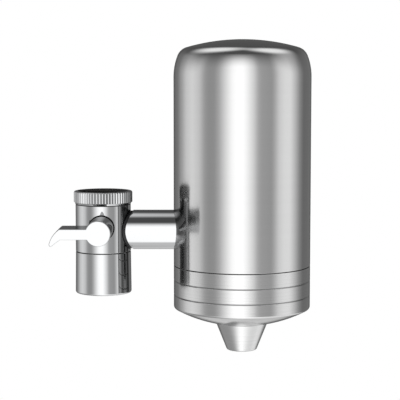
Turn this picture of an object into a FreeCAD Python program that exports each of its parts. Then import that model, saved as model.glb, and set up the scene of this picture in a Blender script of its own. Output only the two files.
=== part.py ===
import math
import os

import FreeCAD
import Part

# Faucet mount water filter: a diverter valve that screws to the tap, a level connecting tube, and a
# steel canister with a ceramic cartridge, closed from below by a screwed base with a tapered nozzle.
#
# All sizes are in millimetres. The origin is on the valve's upright axis, in the plane of the coupling
# nut's top face. +Z is up, +X runs from the valve to the canister, and -Y is the lever's side.
# Screw threads are plain walls at their mean radius: the fine thread itself is a surface detail.

# Fits
THREAD_FIT = 0.05
RUNNING_FIT = 0.05
SEAT_GAP = 0.05
SPIN_GAP = 0.3
SEAM_GAP = 0.3
EDGE_CHAMFER = 0.25

# Coupling nut
NUT_RADIUS = 14.54
NUT_HEIGHT = 6.45
NUT_RIM_ROUND = 0.8
NUT_FLOOR = 0.95
NUT_FOOT_BAND = 0.9
NUT_FOOT_RADIUS = 13.75
KNURL_TEETH = 60
KNURL_DEPTH = 0.42
KNURL_TIP_SHARE = 0.34
TAP_THREAD_RADIUS = 11.46
TAP_THREAD_LENGTH = 2.7
TAP_THREAD_ENTRY = 0.6
THREAD_RELIEF = 0.45

# Swivel bush that holds the nut to the valve body
BUSH_FLANGE_RADIUS = 10.4
BUSH_FLANGE_THICKNESS = 0.9
BUSH_STEM_RADIUS = 8.3
BUSH_STEM_LENGTH = 5.0
BUSH_KEY_ACROSS_FLATS = 11.0

# Inlet washer and its screen
INLET_WASHER_RADIUS = 11.15
INLET_WASHER_BORE = 7.4
INLET_WASHER_THICKNESS = 1.05
INLET_SCREEN_THICKNESS = 0.5
INLET_SCREEN_SLOTS = 7
INLET_SCREEN_SLOT_WIDTH = 1.1
INLET_SCREEN_SLOT_PITCH = 1.8

# Valve body
BODY_RADIUS = 13.7
BODY_HEIGHT = 23.45
SPIGOT_THREAD_RADIUS = 11.7
SPIGOT_LENGTH = 6.0
OUTLET_FUNNEL_RADIUS = 7.5
OUTLET_FUNNEL_HEIGHT = 5.0

# Valve spool, its seals and what holds it
VALVE_AXIS_Z = -17.36
SPOOL_RADIUS = 5.5
PORT_RADIUS = 3.0
PASSAGE_EXTRA = 0.2
SPOOL_FRONT_Y = -11.15
SPOOL_BACK_Y = 7.7
STEM_RADIUS = 3.0
STEM_LENGTH = 12.5
STEM_FLAT_DEPTH = 0.6
STEM_FLAT_LENGTH = 7.0
FRONT_SEAL_Y = -8.0
BACK_SEAL_Y = 5.4
SPOOL_SEAL_WIDTH = 1.7
SPOOL_SEAL_DEPTH = 1.2
SEAL_BEVEL_SHARE = 0.3
BACK_POCKET_RADIUS = 7.4
BACK_CAP_THICKNESS = 1.0
BACK_CAP_INSET = 0.15
THRUST_WASHER_RADIUS = 6.8
THRUST_WASHER_THICKNESS = 0.8
SPOOL_SCREW_RADIUS = 1.5
SPOOL_SCREW_LENGTH = 6.0
SPOOL_SCREW_HEAD_RADIUS = 3.0
SPOOL_SCREW_HEAD = 1.5
SCREW_SLOT_WIDTH = 0.8
SCREW_SLOT_DEPTH = 0.7

# Lever: a round hub and a deep flat arm with a turned down tip
HUB_RADIUS = 6.08
HUB_HOLE_RADIUS = 6.45
HUB_FRONT_Y = -36.7
ARM_DEPTH = 16.2
ARM_TOP = 2.17
ARM_BOTTOM = -2.9
ARM_STRAIGHT = 18.2
ARM_REACH = 23.05
ARM_BEND_REACH = 21.3
ARM_BEND_DROP = 0.9
ARM_NOSE_DROP = 4.6
ARM_NOSE_ROUND_REACH = 22.95
ARM_NOSE_ROUND_DROP = 5.75
ARM_TIP_REACH = 22.2
ARM_TIP_DROP = 6.2
ARM_UNDERSIDE_REACH = 17.9
ARM_EDGE_BEVEL = 0.35
HUB_EDGE_ROUND = 0.3
GRUB_SCREW_RADIUS = 1.5
GRUB_KEY_RADIUS = 0.75
GRUB_KEY_DEPTH = 1.3

# Outlet sleeve under the valve body, with the spray insert in it
SLEEVE_FOOT_RADIUS = 13.95
SLEEVE_HEIGHT = 20.6
SLEEVE_FOOT_ROUND = 1.0
SLEEVE_LIP_THICKNESS = 1.6
SLEEVE_LIP_BORE = 10.2
OUTLET_WASHER_BORE = 8.0
OUTLET_WASHER_THICKNESS = 1.5
INSERT_RADIUS = 11.5
INSERT_WALL = 1.7
INSERT_LEDGE_BORE = 8.8
INSERT_LEDGE_THICKNESS = 1.8
JET_PLATE_DEPTH = 2.0
JET_PLATE_THICKNESS = 1.4
JET_COUNT = 8
JET_RADIUS = 0.9
JET_RING_RADIUS = 6.4
SPRAY_SCREEN_THICKNESS = 0.6
SPRAY_SCREEN_SLOTS = 9
SPRAY_SCREEN_SLOT_WIDTH = 1.1
SPRAY_SCREEN_SLOT_PITCH = 1.8

# Connecting tube, with its gaskets and the nut that holds it in the canister's wall
TUBE_RADIUS = 9.79
TUBE_AXIS_Z = -19.39
TUBE_BORE_RADIUS = 5.0
TUBE_SOCKET_X = 8.4
TUBE_SPIGOT_RADIUS = 7.0
TUBE_SPIGOT_END = 7.3
TUBE_GASKET_RADIUS = 9.4
TUBE_GASKET_THICKNESS = 1.4
WALL_GASKET_RADIUS = 10.2
WALL_GASKET_EDGE = 1.0
LOCKNUT_ACROSS_FLATS = 19.0
LOCKNUT_THICKNESS = 3.0

# Canister shell, drawn from sheet
CANISTER_X = 69.13
CANISTER_RADIUS = 34.0
SHELL_WALL = 0.8
SHELL_FOOT_Z = -36.9
SHELL_TOP_Z = 74.78
CROWN_RADIUS = 99.5
SHOULDER_RADIUS = 7.0
SIDE_ARC_RADIUS = 28.6
SIDE_ARC_START_Z = 56.4
MOUTH_RING_WALL = 2.65
MOUTH_RING_HEIGHT = 6.6

# Screwed base with two turned grooves and a shallow dome underneath
BASE_BAND_HEIGHT = 7.27
BASE_WALL = 2.6
BASE_SPIGOT_HEIGHT = 6.4
BASE_SPIGOT_WALL = 2.8
BASE_GROOVE_WIDTH = 0.7
BASE_GROOVE_DEPTH = 0.4
BASE_FOOT_ROUND = 1.4
BASE_SIDE_HEIGHT = 21.1
DOME_RADIUS = 70.0
FLOOR_EDGE_THICKNESS = 3.0
FLOOR_MIDDLE_RISE = 5.9
BOSS_RADIUS = 11.0
BOSS_RISE = 13.9
CARTRIDGE_SOCKET_RADIUS = 7.6
CARTRIDGE_SOCKET_DEPTH = 8.0
WATERWAY_RADIUS = 4.5
BASE_WEB = 1.0
NOZZLE_THREAD_RADIUS = 8.0
GASKET_SHOULDER = 0.5
GASKET_WIDTH = 1.6
GASKET_HEIGHT = 1.2

# Outlet nozzle
NOZZLE_SEAT_RADIUS = 13.0
NOZZLE_TIP_RADIUS = 7.4
NOZZLE_LENGTH = 14.0
NOZZLE_TIP_ROUND = 1.1
NOZZLE_BORE = 5.0
NOZZLE_WASHER_THICKNESS = 0.9

# Ceramic cartridge
CARTRIDGE_CLEARANCE = 2.65
CARTRIDGE_SKIRT_WALL = 2.0
CERAMIC_WALL = 6.5
CARTRIDGE_CAP_THICKNESS = 3.4
CARTRIDGE_CAP_SKIRT = 4.5
CARTRIDGE_HEIGHT = 112.0
CARTRIDGE_SPIGOT_LENGTH = 7.6
CARTRIDGE_BORE = 4.0
CARTRIDGE_SEAL_WIDTH = 1.8
CARTRIDGE_SEAL_DEPTH = 1.2
CARTRIDGE_SEAL_DROP = 3.4
FELT_THICKNESS = 1.5

# Levels and places that follow from the sizes above
BODY_TOP_Z = -NUT_HEIGHT - SEAT_GAP
BODY_FOOT_Z = BODY_TOP_Z - BODY_HEIGHT
BUSH_FLANGE_Z = -NUT_HEIGHT + NUT_FLOOR + SEAT_GAP
BUSH_TOP_Z = BUSH_FLANGE_Z + BUSH_FLANGE_THICKNESS
INLET_WASHER_TOP_Z = BUSH_TOP_Z + SEAT_GAP + INLET_WASHER_THICKNESS
CHAMBER_RADIUS = SPOOL_RADIUS + RUNNING_FIT
HUB_POCKET_Y = SPOOL_FRONT_Y + SEAT_GAP
GRUB_SCREW_Y = SPOOL_FRONT_Y - STEM_LENGTH + STEM_FLAT_LENGTH / 2
BACK_POCKET_Y = SPOOL_BACK_Y - 2 * SEAT_GAP
SPIGOT_FOOT_Z = BODY_FOOT_Z - SPIGOT_LENGTH
SLEEVE_TOP_Z = BODY_FOOT_Z - SEAM_GAP
SLEEVE_FOOT_Z = SLEEVE_TOP_Z - SLEEVE_HEIGHT
SLEEVE_BORE_RADIUS = SPIGOT_THREAD_RADIUS + THREAD_FIT
INSERT_FOOT_Z = SLEEVE_FOOT_Z + SLEEVE_LIP_THICKNESS + SEAT_GAP
INSERT_TOP_Z = SPIGOT_FOOT_Z - OUTLET_WASHER_THICKNESS - 2 * SEAT_GAP
INSERT_BORE_RADIUS = INSERT_RADIUS - INSERT_WALL
SHELL_INNER_RADIUS = CANISTER_RADIUS - SHELL_WALL
MOUTH_RING_RADIUS = SHELL_INNER_RADIUS - SEAT_GAP - MOUTH_RING_WALL
BASE_TOP_Z = SHELL_FOOT_Z - SEAM_GAP
BASE_CORNER_Z = BASE_TOP_Z - BASE_SIDE_HEIGHT
BASE_SPIGOT_RADIUS = MOUTH_RING_RADIUS - THREAD_FIT
GASKET_INNER_RADIUS = MOUTH_RING_RADIUS + GASKET_SHOULDER
CARTRIDGE_CAP_RADIUS = BASE_SPIGOT_RADIUS - BASE_SPIGOT_WALL - CARTRIDGE_CLEARANCE
CERAMIC_RADIUS = CARTRIDGE_CAP_RADIUS - CARTRIDGE_SKIRT_WALL
DOME_CENTRE_Z = BASE_CORNER_Z + math.sqrt(DOME_RADIUS ** 2 - CANISTER_RADIUS ** 2)
NOZZLE_SEAT_Z = DOME_CENTRE_Z - math.sqrt(DOME_RADIUS ** 2 - NOZZLE_SEAT_RADIUS ** 2)
FLOOR_MIDDLE_Z = NOZZLE_SEAT_Z + FLOOR_MIDDLE_RISE
BOSS_TOP_Z = NOZZLE_SEAT_Z + BOSS_RISE
SOCKET_FLOOR_Z = BOSS_TOP_Z - CARTRIDGE_SOCKET_DEPTH
WEB_FOOT_Z = SOCKET_FLOOR_Z - BASE_WEB
NOZZLE_TOP_Z = NOZZLE_SEAT_Z - SEAT_GAP
NOZZLE_FOOT_Z = NOZZLE_TOP_Z - NOZZLE_LENGTH
CARTRIDGE_FOOT_Z = BOSS_TOP_Z + SEAT_GAP
CARTRIDGE_TOP_Z = CARTRIDGE_FOOT_Z + CARTRIDGE_HEIGHT
CERAMIC_FOOT_Z = CARTRIDGE_FOOT_Z + CARTRIDGE_CAP_THICKNESS + SEAT_GAP
CERAMIC_TOP_Z = CARTRIDGE_TOP_Z - CARTRIDGE_CAP_THICKNESS - SEAT_GAP
CERAMIC_BORE_RADIUS = CERAMIC_RADIUS - CERAMIC_WALL

UP = FreeCAD.Vector(0, 0, 1)
BACK = FreeCAD.Vector(0, 1, 0)
RIGHT = FreeCAD.Vector(1, 0, 0)


def wire(points, place):
    """A closed wire. Each step is a point, or for an arc a pair: its middle point and its end."""
    edges = []
    here = place(points[0])
    for step in points[1:] + points[:1]:
        if isinstance(step[0], tuple):
            end = place(step[1])
            edges.append(Part.Arc(here, place(step[0]), end).toShape())
        else:
            end = place(step)
            edges.append(Part.LineSegment(here, end).toShape())
        here = end
    return Part.Wire(edges)


def turned(points, centre_x=0.0):
    """Spin an outline of (radius, height) points about the upright axis at centre_x."""
    face = Part.Face(wire(points, lambda p: FreeCAD.Vector(p[0], 0, p[1])))
    solid = face.revolve(FreeCAD.Vector(0, 0, 0), UP, 360)
    return solid.translate(FreeCAD.Vector(centre_x, 0, 0))


def upright(radius, low, high, centre_x=0.0):
    return Part.makeCylinder(radius, high - low, FreeCAD.Vector(centre_x, 0, low), UP)


def ring(outer, inner, low, high, centre_x=0.0):
    return upright(outer, low, high, centre_x).cut(upright(inner, low, high, centre_x))


def spindle(radius, front, back, height=VALVE_AXIS_Z):
    """A cylinder along Y, from front to back."""
    return Part.makeCylinder(radius, back - front, FreeCAD.Vector(0, front, height), BACK)


def level(radius, left, right, height):
    """A cylinder along X, from left to right."""
    return Part.makeCylinder(radius, right - left, FreeCAD.Vector(left, 0, height), RIGHT)


def seal_ring(outer, inner, low, high):
    """A rubber ring as it sits squeezed in its groove: flat where it bears, bevelled at its corners."""
    bevel = SEAL_BEVEL_SHARE * min(outer - inner, high - low)
    return turned([
        (inner, low + bevel),
        (inner + bevel, low),
        (outer - bevel, low),
        (outer, low + bevel),
        (outer, high - bevel),
        (outer - bevel, high),
        (inner + bevel, high),
        (inner, high - bevel),
    ])


def slotted_disc(radius, low, high, slots, width, pitch):
    """A round screen with a row of slots, each kept inside a plain rim."""
    disc = upright(radius, low, high)
    rim = width
    for index in range(slots):
        offset = (index - (slots - 1) / 2) * pitch
        reach = math.sqrt(max((radius - rim) ** 2 - (abs(offset) + width / 2) ** 2, width ** 2))
        corner = FreeCAD.Vector(-reach, offset - width / 2, low)
        disc = disc.cut(Part.makeBox(2 * reach, width, high - low, corner))
    return disc


def circle_edges(solid, radius, height):
    """The level circular edges of a given radius and height."""
    found = []
    for edge in solid.Edges:
        curve = edge.Curve
        if not isinstance(curve, Part.Circle):
            continue
        if abs(curve.Radius - radius) < 1e-4 and abs(curve.Center.z - height) < 1e-4:
            found.append(edge)
    return found


# Coupling nut
def knurl_groove():
    """One groove between two teeth, at angle 0, open outwards."""
    pitch = 2 * math.pi / KNURL_TEETH
    half = pitch * (1 - KNURL_TIP_SHARE) / 2
    outer = NUT_RADIUS + KNURL_DEPTH
    inner = NUT_RADIUS - KNURL_DEPTH
    spread = NUT_RADIUS * math.sin(half)
    foot = -NUT_HEIGHT + NUT_FOOT_BAND
    corners = [
        FreeCAD.Vector(inner, 0, foot),
        FreeCAD.Vector(outer, -2 * spread, foot),
        FreeCAD.Vector(outer, 2 * spread, foot),
    ]
    face = Part.Face(Part.makePolygon(corners + corners[:1]))
    return face.extrude(FreeCAD.Vector(0, 0, -foot))


def coupling_nut():
    foot = -NUT_HEIGHT
    band_top = foot + NUT_FOOT_BAND
    root = NUT_RADIUS - KNURL_DEPTH
    thread_foot = -TAP_THREAD_ENTRY - TAP_THREAD_LENGTH
    relief = TAP_THREAD_RADIUS + THREAD_RELIEF
    lean = NUT_RIM_ROUND * (1 - math.sqrt(0.5))
    nut = turned([
        (BUSH_STEM_RADIUS + SPIN_GAP, foot),
        (NUT_FOOT_RADIUS, foot),
        (root, band_top),
        (NUT_RADIUS, band_top),
        (NUT_RADIUS, -NUT_RIM_ROUND),
        (NUT_RADIUS - lean, -lean),
        (NUT_RADIUS - NUT_RIM_ROUND, 0),
        (TAP_THREAD_RADIUS + TAP_THREAD_ENTRY, 0),
        (TAP_THREAD_RADIUS, -TAP_THREAD_ENTRY),
        (TAP_THREAD_RADIUS, thread_foot),
        (relief, thread_foot - THREAD_RELIEF),
        (relief, foot + NUT_FLOOR),
        (BUSH_STEM_RADIUS + SPIN_GAP, foot + NUT_FLOOR),
    ])
    groove = knurl_groove()
    grooves = []
    for index in range(KNURL_TEETH):
        copy = groove.copy()
        copy.rotate(FreeCAD.Vector(0, 0, 0), UP, index * 360 / KNURL_TEETH)
        grooves.append(copy)
    return nut.cut(grooves)


# Swivel bush: a hollow flanged screw, turned with a hexagon key from above
def hexagon(across_flats, low, high):
    corner = across_flats / math.sqrt(3)
    points = []
    for index in range(7):
        turn = index * math.pi / 3
        points.append(FreeCAD.Vector(corner * math.cos(turn), corner * math.sin(turn), low))
    return Part.Face(Part.makePolygon(points)).extrude(FreeCAD.Vector(0, 0, high - low))


def swivel_bush():
    stem_foot = BUSH_FLANGE_Z - BUSH_STEM_LENGTH
    bush = upright(BUSH_FLANGE_RADIUS, BUSH_FLANGE_Z, BUSH_TOP_Z)
    bush = bush.fuse(upright(BUSH_STEM_RADIUS, stem_foot, BUSH_FLANGE_Z))
    bush = bush.cut(hexagon(BUSH_KEY_ACROSS_FLATS, stem_foot, BUSH_TOP_Z))
    return bush.removeSplitter()


def inlet_washer():
    foot = BUSH_TOP_Z + SEAT_GAP
    return ring(INLET_WASHER_RADIUS, INLET_WASHER_BORE, foot, INLET_WASHER_TOP_Z)


def inlet_screen():
    foot = BUSH_TOP_Z + SEAT_GAP
    return slotted_disc(
        INLET_WASHER_BORE - SEAT_GAP,
        foot,
        foot + INLET_SCREEN_THICKNESS,
        INLET_SCREEN_SLOTS,
        INLET_SCREEN_SLOT_WIDTH,
        INLET_SCREEN_SLOT_PITCH,
    )


# Valve body
def bush_socket():
    floor = BUSH_FLANGE_Z - BUSH_STEM_LENGTH - SEAT_GAP
    return upright(BUSH_STEM_RADIUS + THREAD_FIT, floor, BODY_TOP_Z)


def spool_passages():
    """The lever hub's pocket, the spool's chamber and the pocket at the back."""
    passage = spindle(HUB_HOLE_RADIUS, -2 * BODY_RADIUS, HUB_POCKET_Y)
    passage = passage.fuse(spindle(CHAMBER_RADIUS, HUB_POCKET_Y, BACK_POCKET_Y))
    return passage.fuse(spindle(BACK_POCKET_RADIUS, BACK_POCKET_Y, 2 * BODY_RADIUS))


def body_waterways():
    """Inlet from above, tap outlet below with its funnel, and the filter outlet to the right."""
    bore = PORT_RADIUS + PASSAGE_EXTRA
    ways = upright(bore, SPIGOT_FOOT_Z, BODY_TOP_Z)
    ways = ways.fuse(level(bore, 0, TUBE_SOCKET_X, VALVE_AXIS_Z))
    funnel_top = SPIGOT_FOOT_Z + OUTLET_FUNNEL_HEIGHT
    funnel = Part.makeCone(
        OUTLET_FUNNEL_RADIUS, bore, funnel_top - SPIGOT_FOOT_Z, FreeCAD.Vector(0, 0, SPIGOT_FOOT_Z), UP
    )
    return ways.fuse(funnel)


def tube_socket():
    return level(TUBE_SPIGOT_RADIUS + THREAD_FIT, TUBE_SOCKET_X, 2 * BODY_RADIUS, TUBE_AXIS_Z)


def diverter_body():
    body = turned([
        (0, BODY_TOP_Z),
        (0, SPIGOT_FOOT_Z),
        (SPIGOT_THREAD_RADIUS, SPIGOT_FOOT_Z),
        (SPIGOT_THREAD_RADIUS, BODY_FOOT_Z),
        (BODY_RADIUS - EDGE_CHAMFER, BODY_FOOT_Z),
        (BODY_RADIUS, BODY_FOOT_Z + EDGE_CHAMFER),
        (BODY_RADIUS, BODY_TOP_Z - EDGE_CHAMFER),
        (BODY_RADIUS - EDGE_CHAMFER, BODY_TOP_Z),
    ])
    return body.cut([bush_socket(), spool_passages(), body_waterways(), tube_socket()])


# Valve spool with a T shaped port
def stem_flat():
    """What is milled off the stem's underside for the grub screw."""
    front = SPOOL_FRONT_Y - STEM_LENGTH
    side = 2 * STEM_RADIUS
    top = VALVE_AXIS_Z - STEM_RADIUS + STEM_FLAT_DEPTH
    return Part.makeBox(side, STEM_FLAT_LENGTH, side, FreeCAD.Vector(-side / 2, front, top - side))


def seal_groove(middle):
    half = SPOOL_SEAL_WIDTH / 2 + SEAT_GAP
    outer = spindle(SPOOL_RADIUS + 1, middle - half, middle + half)
    return outer.cut(spindle(SPOOL_RADIUS - SPOOL_SEAL_DEPTH, middle - half, middle + half))


def valve_spool():
    spool = spindle(SPOOL_RADIUS, SPOOL_FRONT_Y, SPOOL_BACK_Y)
    spool = spool.fuse(spindle(STEM_RADIUS, SPOOL_FRONT_Y - STEM_LENGTH, SPOOL_FRONT_Y))
    upward = upright(PORT_RADIUS, VALVE_AXIS_Z, VALVE_AXIS_Z + 2 * SPOOL_RADIUS)
    across = level(PORT_RADIUS, -2 * SPOOL_RADIUS, 2 * SPOOL_RADIUS, VALVE_AXIS_Z)
    screw_hole = spindle(
        SPOOL_SCREW_RADIUS + SEAT_GAP, SPOOL_BACK_Y - SPOOL_SCREW_LENGTH + THRUST_WASHER_THICKNESS, SPOOL_BACK_Y
    )
    cuts = [upward.fuse(across), stem_flat(), screw_hole, seal_groove(FRONT_SEAL_Y), seal_groove(BACK_SEAL_Y)]
    return spool.cut(cuts)


def spool_seal(middle):
    seal = seal_ring(
        SPOOL_RADIUS, SPOOL_RADIUS - SPOOL_SEAL_DEPTH + SEAT_GAP, -SPOOL_SEAL_WIDTH / 2, SPOOL_SEAL_WIDTH / 2
    )
    seal.rotate(FreeCAD.Vector(0, 0, 0), RIGHT, 90)
    return seal.translate(FreeCAD.Vector(0, middle, VALVE_AXIS_Z))


def thrust_washer():
    front = SPOOL_BACK_Y
    back = front + THRUST_WASHER_THICKNESS
    hole = spindle(SPOOL_SCREW_RADIUS + SEAT_GAP, front, back)
    return spindle(THRUST_WASHER_RADIUS, front, back).cut(hole)


def spool_screw():
    seat = SPOOL_BACK_Y + THRUST_WASHER_THICKNESS
    head = seat + SPOOL_SCREW_HEAD
    screw = spindle(SPOOL_SCREW_RADIUS, seat - SPOOL_SCREW_LENGTH + 2 * SEAT_GAP, seat)
    screw = screw.fuse(spindle(SPOOL_SCREW_HEAD_RADIUS, seat, head))
    corner = FreeCAD.Vector(-SPOOL_SCREW_HEAD_RADIUS, head - SCREW_SLOT_DEPTH, VALVE_AXIS_Z - SCREW_SLOT_WIDTH / 2)
    return screw.cut(Part.makeBox(2 * SPOOL_SCREW_HEAD_RADIUS, SCREW_SLOT_DEPTH, SCREW_SLOT_WIDTH, corner))


def back_cap():
    """A pressed disc, set in as far as the pocket's rim is a full circle."""
    rim = math.sqrt(BODY_RADIUS ** 2 - BACK_POCKET_RADIUS ** 2)
    back = rim - BACK_CAP_INSET
    return spindle(BACK_POCKET_RADIUS - SEAT_GAP, back - BACK_CAP_THICKNESS, back)


# Lever
def arm_section(y, inset):
    """The arm's outline at a depth y, drawn in by inset. Its tip is curved and turned down."""
    slant = inset * math.sqrt(0.5)
    outline = [
        (-ARM_STRAIGHT, ARM_TOP - inset),
        ((-ARM_BEND_REACH + slant, -ARM_BEND_DROP - slant), (-ARM_REACH + inset, -ARM_NOSE_DROP)),
        (
            (-ARM_NOSE_ROUND_REACH + slant, -ARM_NOSE_ROUND_DROP + slant),
            (-ARM_TIP_REACH + slant, -ARM_TIP_DROP + inset),
        ),
        (-ARM_UNDERSIDE_REACH, ARM_BOTTOM + inset),
        (0, ARM_BOTTOM + inset),
        (0, ARM_TOP - inset),
    ]
    return wire(outline, lambda p: FreeCAD.Vector(p[0], y, VALVE_AXIS_Z + p[1]))


def front_rim(solid):
    """The edges that lie wholly in the plane of the lever's front."""
    return [
        edge for edge in solid.Edges
        if edge.BoundBox.YMax < HUB_FRONT_Y + 1e-4
    ]


def lever_arm():
    """The arm, with its front and back edges bevelled."""
    front = HUB_FRONT_Y
    back = HUB_FRONT_Y + ARM_DEPTH
    sections = [
        arm_section(front, ARM_EDGE_BEVEL),
        arm_section(front + ARM_EDGE_BEVEL, 0),
        arm_section(back - ARM_EDGE_BEVEL, 0),
        arm_section(back, ARM_EDGE_BEVEL),
    ]
    return Part.makeLoft(sections, True, True)


def lever():
    inner_end = SPOOL_FRONT_Y
    hub = spindle(HUB_RADIUS, HUB_FRONT_Y, inner_end)
    hub = hub.makeFillet(HUB_EDGE_ROUND, front_rim(hub))
    part = hub.fuse(lever_arm()).removeSplitter()
    socket = spindle(STEM_RADIUS + RUNNING_FIT, SPOOL_FRONT_Y - STEM_LENGTH - SEAT_GAP, inner_end)
    screw_hole = Part.makeCylinder(
        GRUB_SCREW_RADIUS + THREAD_FIT, HUB_RADIUS, FreeCAD.Vector(0, GRUB_SCREW_Y, VALVE_AXIS_Z), -UP
    )
    return part.cut([socket, screw_hole])


def lever_grub_screw():
    """A headless screw from below that bears on the stem's flat."""
    top = VALVE_AXIS_Z - STEM_RADIUS + STEM_FLAT_DEPTH - SEAT_GAP
    foot = VALVE_AXIS_Z - HUB_RADIUS + 2 * SEAT_GAP
    place = FreeCAD.Vector(0, GRUB_SCREW_Y, foot)
    screw = Part.makeCylinder(GRUB_SCREW_RADIUS, top - foot, place, UP)
    return screw.cut(Part.makeCylinder(GRUB_KEY_RADIUS, GRUB_KEY_DEPTH, place, UP))


# Outlet sleeve and spray insert
def outlet_sleeve():
    sleeve = turned([
        (SLEEVE_BORE_RADIUS, SLEEVE_TOP_Z),
        (BODY_RADIUS - EDGE_CHAMFER, SLEEVE_TOP_Z),
        (BODY_RADIUS, SLEEVE_TOP_Z - EDGE_CHAMFER),
        (SLEEVE_FOOT_RADIUS, SLEEVE_FOOT_Z),
        (SLEEVE_LIP_BORE, SLEEVE_FOOT_Z),
        (SLEEVE_LIP_BORE, SLEEVE_FOOT_Z + SLEEVE_LIP_THICKNESS),
        (SLEEVE_BORE_RADIUS, SLEEVE_FOOT_Z + SLEEVE_LIP_THICKNESS),
    ])
    return sleeve.makeFillet(SLEEVE_FOOT_ROUND, circle_edges(sleeve, SLEEVE_FOOT_RADIUS, SLEEVE_FOOT_Z))


def outlet_washer():
    top = SPIGOT_FOOT_Z - SEAT_GAP
    return ring(INSERT_RADIUS, OUTLET_WASHER_BORE, top - OUTLET_WASHER_THICKNESS, top)


def spray_insert():
    """A plastic cup with a plate of jet holes near its top and a ledge for the screen at its foot."""
    ledge_top = INSERT_FOOT_Z + INSERT_LEDGE_THICKNESS
    plate_top = INSERT_TOP_Z - JET_PLATE_DEPTH
    insert = upright(INSERT_RADIUS, INSERT_FOOT_Z, INSERT_TOP_Z)
    cuts = [
        upright(INSERT_BORE_RADIUS, ledge_top, plate_top - JET_PLATE_THICKNESS),
        upright(INSERT_BORE_RADIUS, plate_top, INSERT_TOP_Z),
        upright(INSERT_LEDGE_BORE, INSERT_FOOT_Z, ledge_top),
    ]
    for index in range(JET_COUNT):
        turn = index * 2 * math.pi / JET_COUNT
        jet = upright(JET_RADIUS, plate_top - JET_PLATE_THICKNESS, plate_top)
        place = FreeCAD.Vector(JET_RING_RADIUS * math.cos(turn), JET_RING_RADIUS * math.sin(turn), 0)
        cuts.append(jet.translate(place))
    return insert.cut(cuts)


def spray_screen():
    foot = INSERT_FOOT_Z + INSERT_LEDGE_THICKNESS + SEAT_GAP
    return slotted_disc(
        INSERT_BORE_RADIUS - SEAT_GAP,
        foot,
        foot + SPRAY_SCREEN_THICKNESS,
        SPRAY_SCREEN_SLOTS,
        SPRAY_SCREEN_SLOT_WIDTH,
        SPRAY_SCREEN_SLOT_PITCH,
    )


# Connecting tube
def saddle(radius):
    """An upright cylinder about the valve's axis that shapes what bears on the round body."""
    return upright(radius, TUBE_AXIS_Z - 2 * TUBE_RADIUS, TUBE_AXIS_Z + 2 * TUBE_RADIUS)


def tube_gasket():
    """A rubber ring between the round valve body and the tube's hollowed end."""
    reach = 2 * BODY_RADIUS
    gasket = level(TUBE_GASKET_RADIUS, 0, reach, TUBE_AXIS_Z)
    gasket = gasket.cut(level(TUBE_SPIGOT_RADIUS + SEAT_GAP, 0, reach, TUBE_AXIS_Z))
    gasket = gasket.common(saddle(BODY_RADIUS + TUBE_GASKET_THICKNESS))
    return gasket.cut(saddle(BODY_RADIUS + SEAT_GAP))


def connecting_tube():
    """A tube hollowed to fit the valve body and the canister, with a threaded spigot at each end."""
    wall_x = CANISTER_X - CANISTER_RADIUS
    start = TUBE_SOCKET_X + SEAT_GAP
    near_cope = saddle(BODY_RADIUS + TUBE_GASKET_THICKNESS + SEAT_GAP)
    far_cope = upright(CANISTER_RADIUS + SEAT_GAP, SHELL_FOOT_Z, SHELL_TOP_Z, CANISTER_X)
    tube = level(TUBE_RADIUS, start, CANISTER_X, TUBE_AXIS_Z).cut([near_cope, far_cope])
    tube = tube.fuse(level(TUBE_SPIGOT_RADIUS, start, wall_x + TUBE_SPIGOT_END, TUBE_AXIS_Z))
    tube = tube.cut(level(TUBE_BORE_RADIUS, start, wall_x + TUBE_SPIGOT_END, TUBE_AXIS_Z))
    return tube.removeSplitter()


def locknut_x():
    """Where the locknut's face bears on the gasket."""
    deep = math.sqrt(SHELL_INNER_RADIUS ** 2 - WALL_GASKET_RADIUS ** 2)
    return CANISTER_X - deep + WALL_GASKET_EDGE


def wall_gasket():
    """A rubber ring that is flat to the locknut and curved to the canister's wall."""
    face_x = locknut_x() - SEAT_GAP
    left = CANISTER_X - CANISTER_RADIUS
    gasket = level(WALL_GASKET_RADIUS, left, face_x, TUBE_AXIS_Z)
    gasket = gasket.cut(level(TUBE_SPIGOT_RADIUS + SEAT_GAP, left, face_x, TUBE_AXIS_Z))
    return gasket.common(upright(SHELL_INNER_RADIUS - SEAT_GAP, SHELL_FOOT_Z, SHELL_TOP_Z, CANISTER_X))


def locknut():
    nut = hexagon(LOCKNUT_ACROSS_FLATS, 0, LOCKNUT_THICKNESS)
    nut.rotate(FreeCAD.Vector(0, 0, 0), UP, 30)
    nut.rotate(FreeCAD.Vector(0, 0, 0), BACK, 90)
    nut.translate(FreeCAD.Vector(locknut_x(), 0, TUBE_AXIS_Z))
    bore = level(TUBE_SPIGOT_RADIUS + THREAD_FIT, locknut_x(), locknut_x() + LOCKNUT_THICKNESS, TUBE_AXIS_Z)
    return nut.cut(bore)


# Canister shell
def meeting_centre(centre_a, reach_a, centre_b, reach_b):
    """The point that lies reach_a from centre_a and reach_b from centre_b, on the outer side."""
    step_r = centre_b[0] - centre_a[0]
    step_z = centre_b[1] - centre_a[1]
    span = math.hypot(step_r, step_z)
    along = (reach_a ** 2 - reach_b ** 2 + span ** 2) / (2 * span)
    aside = math.sqrt(reach_a ** 2 - along ** 2)
    foot = (centre_a[0] + along * step_r / span, centre_a[1] + along * step_z / span)
    return (foot[0] - aside * step_z / span, foot[1] + aside * step_r / span)


def on_circle(centre, radius, angle):
    return (centre[0] + radius * math.cos(angle), centre[1] + radius * math.sin(angle))


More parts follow.
